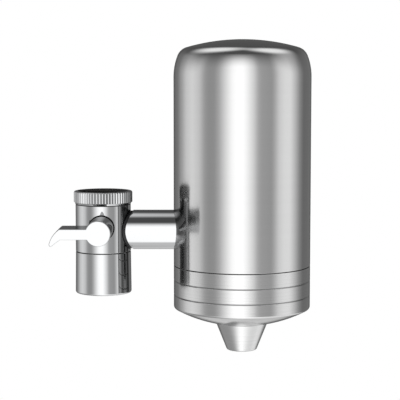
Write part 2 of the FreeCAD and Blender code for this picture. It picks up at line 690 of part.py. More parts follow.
def head_outline(inset):
    """The domed head from the side wall up to the middle: a long side arc, a shoulder and the crown."""
    crown = (0.0, SHELL_TOP_Z - CROWN_RADIUS)
    side = (CANISTER_RADIUS - SIDE_ARC_RADIUS, SIDE_ARC_START_Z)
    reach_crown = CROWN_RADIUS - SHOULDER_RADIUS
    reach_side = SIDE_ARC_RADIUS - SHOULDER_RADIUS
    shoulder = meeting_centre(side, reach_side, crown, reach_crown)
    low = math.atan2(shoulder[1] - side[1], shoulder[0] - side[0])
    high = math.atan2(shoulder[1] - crown[1], shoulder[0] - crown[0])
    side_radius = SIDE_ARC_RADIUS - inset
    round_radius = SHOULDER_RADIUS - inset
    crown_radius = CROWN_RADIUS - inset
    return [
        on_circle(side, side_radius, 0),
        (on_circle(side, side_radius, low / 2), on_circle(side, side_radius, low)),
        (on_circle(shoulder, round_radius, (low + high) / 2), on_circle(shoulder, round_radius, high)),
        (on_circle(crown, crown_radius, (high + math.pi / 2) / 2), (0.0, SHELL_TOP_Z - inset)),
    ]


def solid_head(inset):
    radius = CANISTER_RADIUS - inset
    return turned([(0.0, SHELL_FOOT_Z), (radius, SHELL_FOOT_Z)] + head_outline(inset), CANISTER_X)


def housing_shell():
    shell = solid_head(0).cut(solid_head(SHELL_WALL))
    hole = level(TUBE_SPIGOT_RADIUS + SEAT_GAP, 0, CANISTER_X, TUBE_AXIS_Z)
    return shell.cut(hole)


def mouth_ring():
    """The threaded ring welded into the shell's mouth."""
    outer = SHELL_INNER_RADIUS - SEAT_GAP
    return ring(outer, MOUTH_RING_RADIUS, SHELL_FOOT_Z, SHELL_FOOT_Z + MOUTH_RING_HEIGHT, CANISTER_X)


# Base
def base_groove(height):
    """A V groove turned into the base's side, centred on the given height."""
    half = BASE_GROOVE_WIDTH / 2
    return [
        (CANISTER_RADIUS, height - half),
        (CANISTER_RADIUS - BASE_GROOVE_DEPTH, height),
        (CANISTER_RADIUS, height + half),
    ]


def base_cap():
    upper_groove = BASE_TOP_Z - BASE_BAND_HEIGHT
    lower_groove = upper_groove - BASE_BAND_HEIGHT
    dome_middle = (CANISTER_RADIUS + NOZZLE_SEAT_RADIUS) / 2
    dome_middle_z = DOME_CENTRE_Z - math.sqrt(DOME_RADIUS ** 2 - dome_middle ** 2)
    inner_wall = CANISTER_RADIUS - BASE_WALL
    spigot_inner = BASE_SPIGOT_RADIUS - BASE_SPIGOT_WALL
    spigot_top = BASE_TOP_Z + BASE_SPIGOT_HEIGHT
    shoulder_foot = BASE_TOP_Z - GASKET_HEIGHT - BASE_WALL
    floor_edge = BASE_CORNER_Z + FLOOR_EDGE_THICKNESS
    cap = turned([
        (WATERWAY_RADIUS, SOCKET_FLOOR_Z),
        (CARTRIDGE_SOCKET_RADIUS, SOCKET_FLOOR_Z),
        (CARTRIDGE_SOCKET_RADIUS, BOSS_TOP_Z),
        (BOSS_RADIUS, BOSS_TOP_Z),
        (BOSS_RADIUS, FLOOR_MIDDLE_Z),
        (inner_wall, floor_edge),
        (inner_wall, shoulder_foot - inner_wall + spigot_inner),
        (spigot_inner, shoulder_foot),
        (spigot_inner, spigot_top),
        (BASE_SPIGOT_RADIUS, spigot_top),
        (BASE_SPIGOT_RADIUS, BASE_TOP_Z),
        (CANISTER_RADIUS - EDGE_CHAMFER, BASE_TOP_Z),
        (CANISTER_RADIUS, BASE_TOP_Z - EDGE_CHAMFER),
    ] + base_groove(upper_groove)[::-1] + base_groove(lower_groove)[::-1] + [
        (CANISTER_RADIUS, BASE_CORNER_Z),
        ((dome_middle, dome_middle_z), (NOZZLE_SEAT_RADIUS, NOZZLE_SEAT_Z)),
        (NOZZLE_THREAD_RADIUS, NOZZLE_SEAT_Z),
        (NOZZLE_THREAD_RADIUS, WEB_FOOT_Z),
        (WATERWAY_RADIUS, WEB_FOOT_Z),
    ])
    cap = cap.makeFillet(BASE_FOOT_ROUND, circle_edges(cap, CANISTER_RADIUS, BASE_CORNER_Z))
    gasket_groove = ring(
        GASKET_INNER_RADIUS + GASKET_WIDTH, GASKET_INNER_RADIUS, BASE_TOP_Z - GASKET_HEIGHT + SEAM_GAP, BASE_TOP_Z
    )
    return cap.cut(gasket_groove).translate(FreeCAD.Vector(CANISTER_X, 0, 0))


def base_gasket():
    """The flat rubber ring in the base's shoulder, up to the mouth ring's face."""
    top = SHELL_FOOT_Z - SEAT_GAP
    foot = BASE_TOP_Z - GASKET_HEIGHT + SEAM_GAP + SEAT_GAP
    outer = GASKET_INNER_RADIUS + GASKET_WIDTH - SEAT_GAP
    return ring(outer, GASKET_INNER_RADIUS + SEAT_GAP, foot, top, CANISTER_X)


# Nozzle
def outlet_nozzle():
    spigot_top = WEB_FOOT_Z - NOZZLE_WASHER_THICKNESS - 2 * SEAT_GAP
    spigot_radius = NOZZLE_THREAD_RADIUS - THREAD_FIT
    nozzle = turned([
        (NOZZLE_BORE, NOZZLE_FOOT_Z),
        (NOZZLE_TIP_RADIUS, NOZZLE_FOOT_Z),
        (NOZZLE_SEAT_RADIUS, NOZZLE_TOP_Z),
        (spigot_radius, NOZZLE_TOP_Z),
        (spigot_radius, spigot_top),
        (NOZZLE_BORE, spigot_top),
    ])
    nozzle = nozzle.makeFillet(NOZZLE_TIP_ROUND, circle_edges(nozzle, NOZZLE_TIP_RADIUS, NOZZLE_FOOT_Z))
    return nozzle.translate(FreeCAD.Vector(CANISTER_X, 0, 0))


def nozzle_washer():
    top = WEB_FOOT_Z - SEAT_GAP
    outer = NOZZLE_THREAD_RADIUS - THREAD_FIT
    return ring(outer, WATERWAY_RADIUS, top - NOZZLE_WASHER_THICKNESS, top, CANISTER_X)


# Cartridge
def cartridge_seal_groove():
    middle = CARTRIDGE_FOOT_Z - CARTRIDGE_SEAL_DROP
    half = CARTRIDGE_SEAL_WIDTH / 2 + SEAT_GAP
    spigot_radius = CARTRIDGE_SOCKET_RADIUS - RUNNING_FIT
    inner = spigot_radius - CARTRIDGE_SEAL_DEPTH
    return ring(CARTRIDGE_SOCKET_RADIUS + 1, inner, middle - half, middle + half)


def cartridge_foot():
    """The lower end cap, with the spigot that plugs into the base."""
    spigot_radius = CARTRIDGE_SOCKET_RADIUS - RUNNING_FIT
    skirt_inner = CERAMIC_RADIUS + SEAT_GAP
    floor = CARTRIDGE_FOOT_Z + CARTRIDGE_CAP_THICKNESS
    foot = turned([
        (CARTRIDGE_BORE, CARTRIDGE_FOOT_Z - CARTRIDGE_SPIGOT_LENGTH),
        (spigot_radius, CARTRIDGE_FOOT_Z - CARTRIDGE_SPIGOT_LENGTH),
        (spigot_radius, CARTRIDGE_FOOT_Z),
        (CARTRIDGE_CAP_RADIUS, CARTRIDGE_FOOT_Z),
        (CARTRIDGE_CAP_RADIUS, floor + CARTRIDGE_CAP_SKIRT),
        (skirt_inner, floor + CARTRIDGE_CAP_SKIRT),
        (skirt_inner, floor),
        (CARTRIDGE_BORE, floor),
    ])
    return foot.cut(cartridge_seal_groove()).translate(FreeCAD.Vector(CANISTER_X, 0, 0))


def cartridge_seal():
    middle = CARTRIDGE_FOOT_Z - CARTRIDGE_SEAL_DROP
    half = CARTRIDGE_SEAL_WIDTH / 2
    outer = CARTRIDGE_SOCKET_RADIUS - RUNNING_FIT
    inner = outer - CARTRIDGE_SEAL_DEPTH + SEAT_GAP
    return seal_ring(outer, inner, middle - half, middle + half).translate(FreeCAD.Vector(CANISTER_X, 0, 0))


def cartridge_head():
    skirt_inner = CERAMIC_RADIUS + SEAT_GAP
    ceiling = CARTRIDGE_TOP_Z - CARTRIDGE_CAP_THICKNESS
    head = upright(CARTRIDGE_CAP_RADIUS, ceiling - CARTRIDGE_CAP_SKIRT, CARTRIDGE_TOP_Z, CANISTER_X)
    return head.cut(upright(skirt_inner, ceiling - CARTRIDGE_CAP_SKIRT, ceiling, CANISTER_X))


def ceramic_tube():
    return ring(CERAMIC_RADIUS, CERAMIC_BORE_RADIUS, CERAMIC_FOOT_Z, CERAMIC_TOP_Z, CANISTER_X)


def felt_pad():
    top = CERAMIC_FOOT_Z + FELT_THICKNESS
    return upright(CERAMIC_BORE_RADIUS - SEAT_GAP, CERAMIC_FOOT_Z, top, CANISTER_X)


def carbon_core():
    foot = CERAMIC_FOOT_Z + FELT_THICKNESS + SEAT_GAP
    return upright(CERAMIC_BORE_RADIUS - SEAT_GAP, foot, CERAMIC_TOP_Z, CANISTER_X)


def main():
    parts = {
        "coupling_nut": coupling_nut(),
        "swivel_bush": swivel_bush(),
        "inlet_washer": inlet_washer(),
        "inlet_screen": inlet_screen(),
        "diverter_body": diverter_body(),
        "valve_spool": valve_spool(),
        "spool_front_seal": spool_seal(FRONT_SEAL_Y),
        "spool_back_seal": spool_seal(BACK_SEAL_Y),
        "thrust_washer": thrust_washer(),
        "spool_screw": spool_screw(),
        "back_cap": back_cap(),
        "lever": lever(),
        "lever_grub_screw": lever_grub_screw(),
        "outlet_sleeve": outlet_sleeve(),
        "outlet_washer": outlet_washer(),
        "spray_insert": spray_insert(),
        "spray_screen": spray_screen(),
        "tube_gasket": tube_gasket(),
        "connecting_tube": connecting_tube(),
        "wall_gasket": wall_gasket(),
        "locknut": locknut(),
        "housing_shell": housing_shell(),
        "mouth_ring": mouth_ring(),
        "base_cap": base_cap(),
        "base_gasket": base_gasket(),
        "outlet_nozzle": outlet_nozzle(),
        "nozzle_washer": nozzle_washer(),
        "cartridge_foot": cartridge_foot(),
        "cartridge_seal": cartridge_seal(),
        "cartridge_head": cartridge_head(),
        "ceramic_tube": ceramic_tube(),
        "felt_pad": felt_pad(),
        "carbon_core": carbon_core(),
    }
    os.makedirs("parts", exist_ok=True)
    for name, shape in parts.items():
        if len(shape.Solids) != 1 or not shape.isValid():
            raise ValueError(name + " is not one sound solid")
        shape.Solids[0].exportStep("parts/" + name + ".step")


main()
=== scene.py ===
"""Faucet mount water filter: the looks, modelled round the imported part. All lengths are in metres."""

import math

import bpy
import numpy as np
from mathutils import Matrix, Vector


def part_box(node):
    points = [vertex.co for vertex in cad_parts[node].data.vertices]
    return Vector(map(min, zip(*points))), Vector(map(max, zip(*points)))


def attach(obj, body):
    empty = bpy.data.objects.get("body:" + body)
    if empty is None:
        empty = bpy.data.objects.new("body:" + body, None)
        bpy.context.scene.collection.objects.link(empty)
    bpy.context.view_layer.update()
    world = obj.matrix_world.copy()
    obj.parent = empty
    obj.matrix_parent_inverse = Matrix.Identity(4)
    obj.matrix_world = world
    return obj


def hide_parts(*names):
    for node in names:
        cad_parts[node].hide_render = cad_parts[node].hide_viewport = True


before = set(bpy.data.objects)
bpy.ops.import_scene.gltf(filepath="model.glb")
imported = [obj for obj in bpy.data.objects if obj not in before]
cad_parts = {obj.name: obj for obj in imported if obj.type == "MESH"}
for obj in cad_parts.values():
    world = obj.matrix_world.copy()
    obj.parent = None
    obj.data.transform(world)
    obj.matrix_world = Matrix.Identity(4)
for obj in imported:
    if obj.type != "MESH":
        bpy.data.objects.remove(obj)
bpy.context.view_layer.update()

bl_info = {
    "name": "Faucet Mount Water Filter",
    "version": (1, 0, 0),
    "blender": (4, 5, 0),
    "location": "3D View > Sidebar > Water Filter",
    "description": "Models and finishes a tap-mounted water filter round its CAD part",
    "category": "Object",
}

MM = 0.001
WELD = 2e-6
SMOOTH_ANGLE = math.radians(32)
FINE_STEPS = 320
THREAD_STEPS = 72
THREAD_SINK = 0.05 * MM

NUT_LOW, NUT_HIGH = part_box("coupling_nut")
BODY_LOW, BODY_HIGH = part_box("diverter_body")
SLEEVE_LOW, SLEEVE_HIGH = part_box("outlet_sleeve")
LEVER_LOW, LEVER_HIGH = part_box("lever")
TUBE_LOW, TUBE_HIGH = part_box("connecting_tube")
SHELL_LOW, SHELL_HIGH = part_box("housing_shell")
NOZZLE_LOW, NOZZLE_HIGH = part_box("outlet_nozzle")

# Coupling nut
NUT_RADIUS = 14.54 * MM
NUT_FOOT_RADIUS = 13.75 * MM
NUT_CONE = 0.9 * MM
NUT_BAND_STEP = 0.12 * MM
NUT_TOP_ROUND = 0.8 * MM
NUT_EDGE = 0.1 * MM
NUT_BORE = 12.0 * MM
NUT_MOUTH_WIDTH = 0.5 * MM
NUT_MOUTH_DEPTH = 0.6 * MM
NUT_FLOOR = 0.95 * MM
NUT_FLOOR_BORE = 8.6 * MM
KNURL_GROOVE_SHARE = 0.66
KNURL_COLUMNS = 64
TAP_THREAD_CREST = 11.46 * MM
TAP_THREAD_RUN = 4.1 * MM
TAP_THREAD_TURNS = 2.4

# Valve
BODY_RADIUS = 13.7 * MM
BODY_FOOT = -29.95 * MM
SPIGOT_RADIUS = 11.7 * MM
SLEEVE_THREAD_DEPTH = 0.35 * MM
SLEEVE_THREAD_PITCH = 1 * MM
SLEEVE_THREAD_START = 0.3 * MM
SLEEVE_THREAD_TURNS = 4.6
VALVE_AXIS = -17.36 * MM
HUB_RADIUS = 6.08 * MM
HUB_HOLE = 6.45 * MM
HUB_POCKET = -11.1 * MM
CHAMBER_RADIUS = 5.55 * MM
BACK_POCKET = 7.6 * MM
BACK_POCKET_RADIUS = 7.4 * MM
WATERWAY = 3.2 * MM
FUNNEL_RADIUS = 7.5 * MM
FUNNEL_HEIGHT = 5 * MM
BUSH_SOCKET_RADIUS = 8.35 * MM
BUSH_SOCKET_FLOOR = -10.5 * MM
TUBE_SOCKET = 8.4 * MM

# Lever
GRUB_HOLE = 1.55 * MM
GRUB_Y = -20.15 * MM
STEM_SOCKET = 3.05 * MM
STEM_END = -23.7 * MM
ARM_DEPTH = 16.2 * MM

# The side of the arm in mm from the valve's axis: the turned down tip, its nose and the straight edges
ARM_TIP = ((-18.2, 2.17), (-21.3, -0.9), (-23.05, -4.6))
ARM_NOSE = ((-23.05, -4.6), (-22.95, -5.75), (-22.2, -6.2))
ARM_EDGES = [(-17.9, -2.9), (0.0, -2.9), (0.0, 2.17)]

# Sleeve
SLEEVE_BORE = 11.75 * MM
SLEEVE_FOOT_RADIUS = 13.95 * MM
SLEEVE_FOOT_ROUND = 1 * MM
SLEEVE_MOUTH = 10.2 * MM
SLEEVE_LIP = 1.6 * MM

# Tube
TUBE_RADIUS = 9.79 * MM
TUBE_AXIS = -19.39 * MM
TUBE_SPIGOT = 7.0 * MM
TUBE_BORE = 5.0 * MM
SPIGOT_FIT = 0.05 * MM
GASKET_THICKNESS = 1.45 * MM

# Canister
CANISTER = 69.13 * MM
CANISTER_RADIUS = 34 * MM
SHELL_WALL = 0.8 * MM
SHELL_EDGE = 0.2 * MM
CROWN_RADIUS = 99.5 * MM
SHOULDER_RADIUS = 7 * MM
SIDE_ARC_RADIUS = 28.6 * MM
SIDE_ARC_START = 56.4 * MM

# Base
BASE_SEAM = 0.3 * MM
BASE_SIDE = 21.1 * MM
BASE_BAND = 7.27 * MM
BASE_EDGE = 0.25 * MM
GROOVE_HALF_WIDTH = 0.35 * MM
GROOVE_EDGE = 0.12 * MM
FOOT_ROUND = 1.4 * MM
DOME_RADIUS = 70 * MM
BASE_ROOM = 31.4 * MM
BASE_ROOM_TOP = 7.55 * MM
BASE_ROOM_FLOOR_BY_BOSS = 5.9 * MM
BASE_ROOM_FLOOR_BY_WALL = 3 * MM
BASE_WEB = 1 * MM
BASE_MOUTH = 27.65 * MM
BASE_MOUTH_FOOT = 3.8 * MM
BASE_SPIGOT_HEIGHT = 6.4 * MM
BASE_SPIGOT_ROUND = 0.4 * MM
BASE_THREAD_CREST = 30.45 * MM
BASE_THREAD_DEPTH = 0.45 * MM
BASE_THREAD_START = 0.6 * MM
BASE_THREAD_TURNS = 3.0
BOSS_RADIUS = 11 * MM
BOSS_HEIGHT = 13.9 * MM
CARTRIDGE_SOCKET = 7.6 * MM
CARTRIDGE_SOCKET_DEPTH = 8 * MM
WATER_HOLE = 4.5 * MM
NOZZLE_THREAD = 8 * MM

# Nozzle
NOZZLE_SEAT_RADIUS = 13 * MM
NOZZLE_HEIGHT = 14 * MM
NOZZLE_TIP_RADIUS = 7.4 * MM
NOZZLE_TIP_ROUND = 1.1 * MM
NOZZLE_MOUTH_ROUND = 0.4 * MM
NOZZLE_EDGE = 0.12 * MM
NOZZLE_BORE = 5 * MM
NOZZLE_SPIGOT = 7.95 * MM

# Strainers
WIRE_RADIUS = 0.12 * MM
WIRE_LIFT = 1.05 * WIRE_RADIUS
RIM_WIDTH = 0.8 * MM
RIM_EDGE = 0.1 * MM

# Stage
STAGE_CENTRE = Vector((45 * MM, 0, 0))
FLOOR_LEVEL = -0.9
FLOOR_REACH = 2.2
FLOOR_CURVE = 0.6
WALL_TOP = 1.4
TOP_CURVE = 1.4
CAMERA_PLACE = (48.2 * MM, -648.6 * MM, 55.9 * MM)
CAMERA_TILT = math.radians(90 - 5.337)
CAMERA_LENS = 117.8
TENT_RADIUS = 6.0
TENT_GLOW = 1.37
BRIGHTEST = 1.4
FLOOR_LIGHT = 0.65
CEILING_LIGHT = 0.08
WORLD_GLOW = 0.3

# Light that comes over more than one reflection is weaker, so that the pieces mirror each other darker
SECOND_SIGHT = 0.42

# How bright the light tent is level round the object: degrees from the front, and brightness
ROUND_ABOUT = (
    (-180, 0.0), (-164, 0.0), (-150, 0.08), (-138, 0.12), (-120, 0.37), (-108, 0.63), (-93, 0.75),
    (-78, 0.61), (-66, 0.31), (-58, 0.25), (-48, 0.26), (-40, 0.41), (-30, 0.75), (-18, 1.17), (-9, 1.28),
    (0, 1.27), (6, 1.1), (18, 0.69), (24, 0.42), (30, 0.32), (48, 0.28), (54, 0.42), (62, 0.68), (72, 0.8),
    (84, 0.82), (96, 0.52), (108, 0.22), (120, 0.08), (150, 0.08), (164, 0.0), (180, 0.0),
)

# How bright it is low down, under the level of the object's foot
LOW_ROUND = (
    (-180, 0.65), (-160, 0.4), (-140, 0.3), (-100, 0.32), (-75, 0.36), (-58, 0.5), (-40, 0.82), (-20, 1.25),
    (0, 1.36), (20, 1.2), (40, 0.97), (60, 0.84), (80, 0.82), (100, 0.92), (120, 0.84), (140, 0.55),
    (160, 0.45), (180, 0.65),
)

# By height: the share of the level light, of the low light, and of the floor's own light in the low one
HEIGHT_SHARE = ((0.12, 1.0), (0.26, 0.8), (0.35, 0.6), (0.43, 0.375), (0.51, 0.14), (0.59, 0.0))
LOW_SHARE = ((-0.49, 1.0), (-0.35, 0.0))
FLOOR_SHARE = ((-0.99, 1.0), (-0.94, 0.0))

# How much higher the level light reaches in front, and how much deeper at the back
FRONT_IS_TALLER = 0.23
BACK_IS_DEEPER = 0.08

# Two soft round lamps overhead: their middles seen from above, their core, their reach and their brightness
LAMPS = ((-0.348, 0.17), (0.462, 0.05))
LAMP_CORE = 0.12
LAMP_EDGE = 0.545
LAMP_LIGHT = 0.93


class FilterSizes(bpy.types.PropertyGroup):
    """Lengths that shape the small details."""

    knurl_depth: bpy.props.FloatProperty(
        name="Knurl depth", description="How deep the nut's grooves are", default=0.42 * MM,
        unit="LENGTH", precision=5,
    )
    knurl_teeth: bpy.props.IntProperty(
        name="Knurl teeth", description="How many teeth the nut has", default=60, min=12,
    )
    tap_thread_pitch: bpy.props.FloatProperty(
        name="Tap thread pitch", description="Pitch of the nut's inner thread", default=1 * MM,
        unit="LENGTH", precision=5,
    )
    base_thread_pitch: bpy.props.FloatProperty(
        name="Base thread pitch", description="Pitch of the base's thread", default=1.5 * MM,
        unit="LENGTH", precision=5,
    )
    edge_round: bpy.props.FloatProperty(
        name="Edge rounding", description="Radius of the valve's small edges", default=0.25 * MM,
        unit="LENGTH", precision=5,
    )
    lever_round: bpy.props.FloatProperty(
        name="Lever rounding", description="Radius of the lever's edges", default=0.45 * MM,
        unit="LENGTH", precision=5,
    )
    groove_depth: bpy.props.FloatProperty(
        name="Groove depth", description="Depth of the base's two grooves", default=0.4 * MM,
        unit="LENGTH", precision=5,
    )
    mesh_pitch: bpy.props.FloatProperty(
        name="Mesh pitch", description="Distance between two wires of a strainer", default=0.9 * MM,
        unit="LENGTH", precision=5,
    )


class FilterFinishes(bpy.types.PropertyGroup):
    """Colours of the finishes."""

    chrome: bpy.props.FloatVectorProperty(
        name="Chrome", description="Colour of the plating", subtype="COLOR", default=(0.55, 0.555, 0.56),
    )
    steel: bpy.props.FloatVectorProperty(
        name="Steel", description="Colour of the canister", subtype="COLOR", default=(0.56, 0.56, 0.56),
    )
    brass: bpy.props.FloatVectorProperty(
        name="Brass", description="Colour of the bare brass", subtype="COLOR", default=(0.78, 0.58, 0.27),
    )
    rubber: bpy.props.FloatVectorProperty(
        name="Rubber", description="Colour of the seals", subtype="COLOR", default=(0.012, 0.012, 0.013),
    )
    plastic: bpy.props.FloatVectorProperty(
        name="Plastic", description="Colour of the moulded pieces", subtype="COLOR",
        default=(0.78, 0.79, 0.79),
    )
    ceramic: bpy.props.FloatVectorProperty(
        name="Ceramic", description="Colour of the filter tube", subtype="COLOR", default=(0.84, 0.82, 0.76),
    )


def sizes():
    return bpy.context.scene.filter_sizes


def finishes():
    return bpy.context.scene.filter_finishes


# Shader maths


class Signal:
    """One output of a shader node. Sums on it add Math nodes."""

    def __init__(self, finish, socket):
        self.finish = finish
        self.socket = socket

    def math(self, operation, *others):
        return self.finish.node("Math", {"operation": operation}, self, *others)

    def __add__(self, other):
        return self.math("ADD", other)

    def __sub__(self, other):
        return self.math("SUBTRACT", other)

    def __mul__(self, other):
        return self.math("MULTIPLY", other)

    def __radd__(self, other):
        return self + other

    def __rmul__(self, other):
        return self * other

    def __rsub__(self, other):
        return self.finish.node("Math", {"operation": "SUBTRACT"}, other, self)


class Finish:
    """A material with one Principled shader, built node by node."""

    def __init__(self, name, **constants):
        self.material = bpy.data.materials.new(name)
        self.material.use_nodes = True
        self.tree = self.material.node_tree
        self.shader = self.tree.nodes["Principled BSDF"]
        for socket, value in constants.items():
            self.shader.inputs[socket.replace("_", " ")].default_value = value
        self.place = self.node("TexCoord", output="Object")

    def node(self, kind, settings=(), *values, output=0, **named):
        made = self.tree.nodes.new("ShaderNode" + kind)
        for setting, value in dict(settings).items():
            if setting == "stops":
                self.set_stops(made.color_ramp, value)
            else:
                setattr(made, setting, value)
        for socket, value in list(enumerate(values)) + list(named.items()):
            key = socket if isinstance(socket, int) else socket.replace("_", " ")
            self.feed(made.inputs[key], value)
        return Signal(self, made.outputs[output])

    def set_stops(self, ramp, stops):
        ramp.elements.remove(ramp.elements[1])
        ramp.elements[0].position = stops[0][0]
        for position, _ in stops[1:]:
            ramp.elements.new(position)
        for element, (_, level) in zip(ramp.elements, stops):
            element.color = (level, level, level, 1)

    def feed(self, socket, value):
        if isinstance(value, Signal):
            self.tree.links.new(value.socket, socket)
        else:
            socket.default_value = value

    def set(self, socket, value):
        self.feed(self.shader.inputs[socket], value)

    def noise(self, scale, stretch=(1, 1, 1), detail=3.0):
        stretched = self.node("Mapping", {}, self.place, Scale=stretch)
        return self.node("TexNoise", {}, Vector=stretched, Scale=scale, Detail=detail)

    def tint(self, factor, dark, light):
        """A colour between two, by a factor."""
        mixed = self.node("Mix", {"data_type": "RGBA", "clamp_factor": True}, output=2)
        inputs = mixed.socket.node.inputs
        self.feed(inputs[0], factor)
        inputs[6].default_value = (*dark, 1)
        inputs[7].default_value = (*light, 1)
        return mixed

    def bump(self, height, strength, distance):
        self.set("Normal", self.node("Bump", {}, Strength=strength, Distance=distance, Height=height))

    def tool_lines(self):
        """A vector that is the same all the way round the canister's axis."""
        from_axis = self.node("VectorMath", {"operation": "SUBTRACT"}, self.place, (CANISTER, 0, 0))
        flat = self.node("VectorMath", {"operation": "MULTIPLY"}, from_axis, (1, 1, 0))
        radius = self.node("VectorMath", {"operation": "LENGTH"}, flat, output="Value")
        height = self.node("SeparateXYZ", {}, from_axis, output="Z")
        return self.node("CombineXYZ", {}, X=height - radius, Y=0.0, Z=0.0)


def shade(colour, factor):
    return tuple(channel * factor for channel in colour)


def chrome_finish(name):
    """Plated and polished: a clear mirror with faint wiping marks and a few dull spots."""
    colour = finishes().chrome
    finish = Finish(name, Metallic=1.0)
    marks = finish.noise(260, (1, 1, 0.35), 5.0)
    spots = finish.noise(900, detail=2.0)
    worn = finish.node("ValToRGB", {"stops": [(0.52, 0), (0.72, 1)]}, marks)
    finish.set("Base Color", finish.tint(spots, shade(colour, 0.96), colour))
    finish.set("Roughness", 0.035 + worn * 0.035)
    finish.bump(finish.noise(120, detail=1.0), 0.012, 0.2 * MM)
    return finish.material


def satin_finish(name):
    """Drawn steel brushed round its axis: fine level lines that blur what it mirrors."""
    colour = finishes().steel
    finish = Finish(name, Metallic=1.0, Anisotropic=0.3, Anisotropic_Rotation=0.25)
    lines = finish.tool_lines()
    brushed = finish.node("TexNoise", {}, Vector=lines, Scale=2600, Detail=4.0)
    broad = finish.node("TexNoise", {}, Vector=lines, Scale=420, Detail=2.0)
    cloud = finish.noise(22, (1, 1, 0.5), 3.0)
    mix = brushed * 0.6 + broad * 0.4
    finish.set("Base Color", finish.tint(mix, shade(colour, 0.93), shade(colour, 1.05)))
    finish.set("Roughness", 0.1 + cloud * 0.03 + brushed * 0.04)
    finish.bump(mix, 0.02, 0.02 * MM)
    return finish.material


def turned_finish(name, roughness, strength):
    """Lathe-turned steel: level tool marks that show as fine light and dark lines."""
    colour = finishes().steel
    finish = Finish(name, Metallic=1.0, Anisotropic=0.4, Anisotropic_Rotation=0.25)
    lines = finish.tool_lines()
    cuts = finish.node("TexNoise", {}, Vector=lines, Scale=1900, Detail=5.0)
    patches = finish.noise(30, detail=2.0)
    finish.set("Base Color", finish.tint(cuts, shade(colour, 0.9), shade(colour, 1.12)))
    finish.set("Roughness", roughness + patches * 0.04 + cuts * 0.05)
    finish.bump(cuts, strength, 0.03 * MM)
    return finish.material


def painted_shade_finish(name):
    """Dull unplated metal, its colour painted near-black as the shade in bores, gaps and recesses."""
    finish = Finish(name, Metallic=0.6)
    grain = finish.noise(700, detail=4.0)
    finish.set("Base Color", finish.tint(grain, (0.02, 0.02, 0.02), (0.06, 0.058, 0.055)))
    finish.set("Roughness", 0.5 + grain * 0.2)
    finish.bump(grain, 0.3, 0.03 * MM)
    return finish.material


def brass_finish(name):
    """Machined brass, a little tarnished."""
    colour = finishes().brass
    finish = Finish(name, Metallic=1.0)
    tarnish = finish.noise(180, detail=4.0)
    tools = finish.noise(1500, (0.2, 1, 1), 2.0)
    finish.set("Base Color", finish.tint(tarnish, shade(colour, 0.72), colour))
    finish.set("Roughness", 0.2 + tarnish * 0.15 + tools * 0.08)
    finish.bump(tools, 0.12, 0.03 * MM)
    return finish.material


def steel_finish(name, roughness):
    """Plain bright steel of a screw or a woven wire."""
    colour = finishes().steel
    finish = Finish(name, Metallic=1.0)
    grain = finish.noise(800, detail=3.0)
    finish.set("Base Color", finish.tint(grain, shade(colour, 0.8), shade(colour, 0.95)))
    finish.set("Roughness", roughness + grain * 0.12)
    finish.bump(grain, 0.08, 0.02 * MM)
    return finish.material


def matt_finish(name, dark, light, roughness, grain_scale, grain_depth):
    """A matt stuff whose colour and surface vary with its grain."""
    finish = Finish(name, Specular_IOR_Level=0.4)
    cloud = finish.noise(90, detail=3.0)
    grain = finish.noise(grain_scale, detail=4.0)
    finish.set("Base Color", finish.tint(cloud * 0.5 + grain * 0.5, dark, light))
    finish.set("Roughness", roughness + grain * 0.1)
    finish.bump(grain, 0.4, grain_depth)
    return finish.material


# Modelling


def clear_selection():
    if bpy.context.object and bpy.context.object.mode != "OBJECT":
        bpy.ops.object.mode_set(mode="OBJECT")
    bpy.ops.object.select_all(action="DESELECT")


def take(piece):
    """Make this the one selected and active object."""
    clear_selection()
    piece.select_set(True)
    bpy.context.view_layer.objects.active = piece


def draw_line(name, points, closed):
    """A chain of edges through the points, drawn by extruding one corner after the other."""
    clear_selection()
    bpy.ops.mesh.primitive_plane_add(size=MM)
    piece = bpy.context.object
    piece.name = name
    bpy.ops.object.mode_set(mode="EDIT")
    bpy.ops.mesh.select_mode(type="VERT")
    bpy.ops.mesh.select_all(action="SELECT")
    bpy.ops.mesh.merge(type="CENTER")
    bpy.ops.transform.translate(value=points[0])
    here = points[0]
    for there in points[1:] + (points[:1] if closed else []):
        bpy.ops.mesh.extrude_region_move(TRANSFORM_OT_translate={"value": there - here})
        here = there
    bpy.ops.mesh.select_all(action="SELECT")
    if closed:
        bpy.ops.mesh.remove_doubles(threshold=WELD)
    return piece


def tidy_mesh():
    """Merge doubles and turn the faces outwards, in edit mode."""
    bpy.ops.mesh.select_all(action="SELECT")
    bpy.ops.mesh.remove_doubles(threshold=WELD)
    bpy.ops.mesh.normals_make_consistent(inside=False)
    bpy.ops.object.mode_set(mode="OBJECT")


def arc(centre, radius, start, end, count):
    """Points on a circle from start to end, in radians."""
    found = []
    for step in range(count + 1):
        angle = start + (end - start) * step / count
        found.append((centre[0] + radius * math.cos(angle), centre[1] + radius * math.sin(angle)))
    return found


def arc_through(first, middle, last, count):
    """Points on the circle through three points, from the first to the last."""
    a, b, c = Vector(first), Vector(middle), Vector(last)
    d = 2 * (a.x * (b.y - c.y) + b.x * (c.y - a.y) + c.x * (a.y - b.y))
    squares = (a.length_squared, b.length_squared, c.length_squared)
    x = (squares[0] * (b.y - c.y) + squares[1] * (c.y - a.y) + squares[2] * (a.y - b.y)) / d
    y = (squares[0] * (c.x - b.x) + squares[1] * (a.x - c.x) + squares[2] * (b.x - a.x)) / d
    centre = Vector((x, y))
    reach = (a - centre).length
    shares = [step / count for step in range(count + 1)]
    return [tuple(centre + (a - centre).slerp(c - centre, share) * reach) for share in shares]


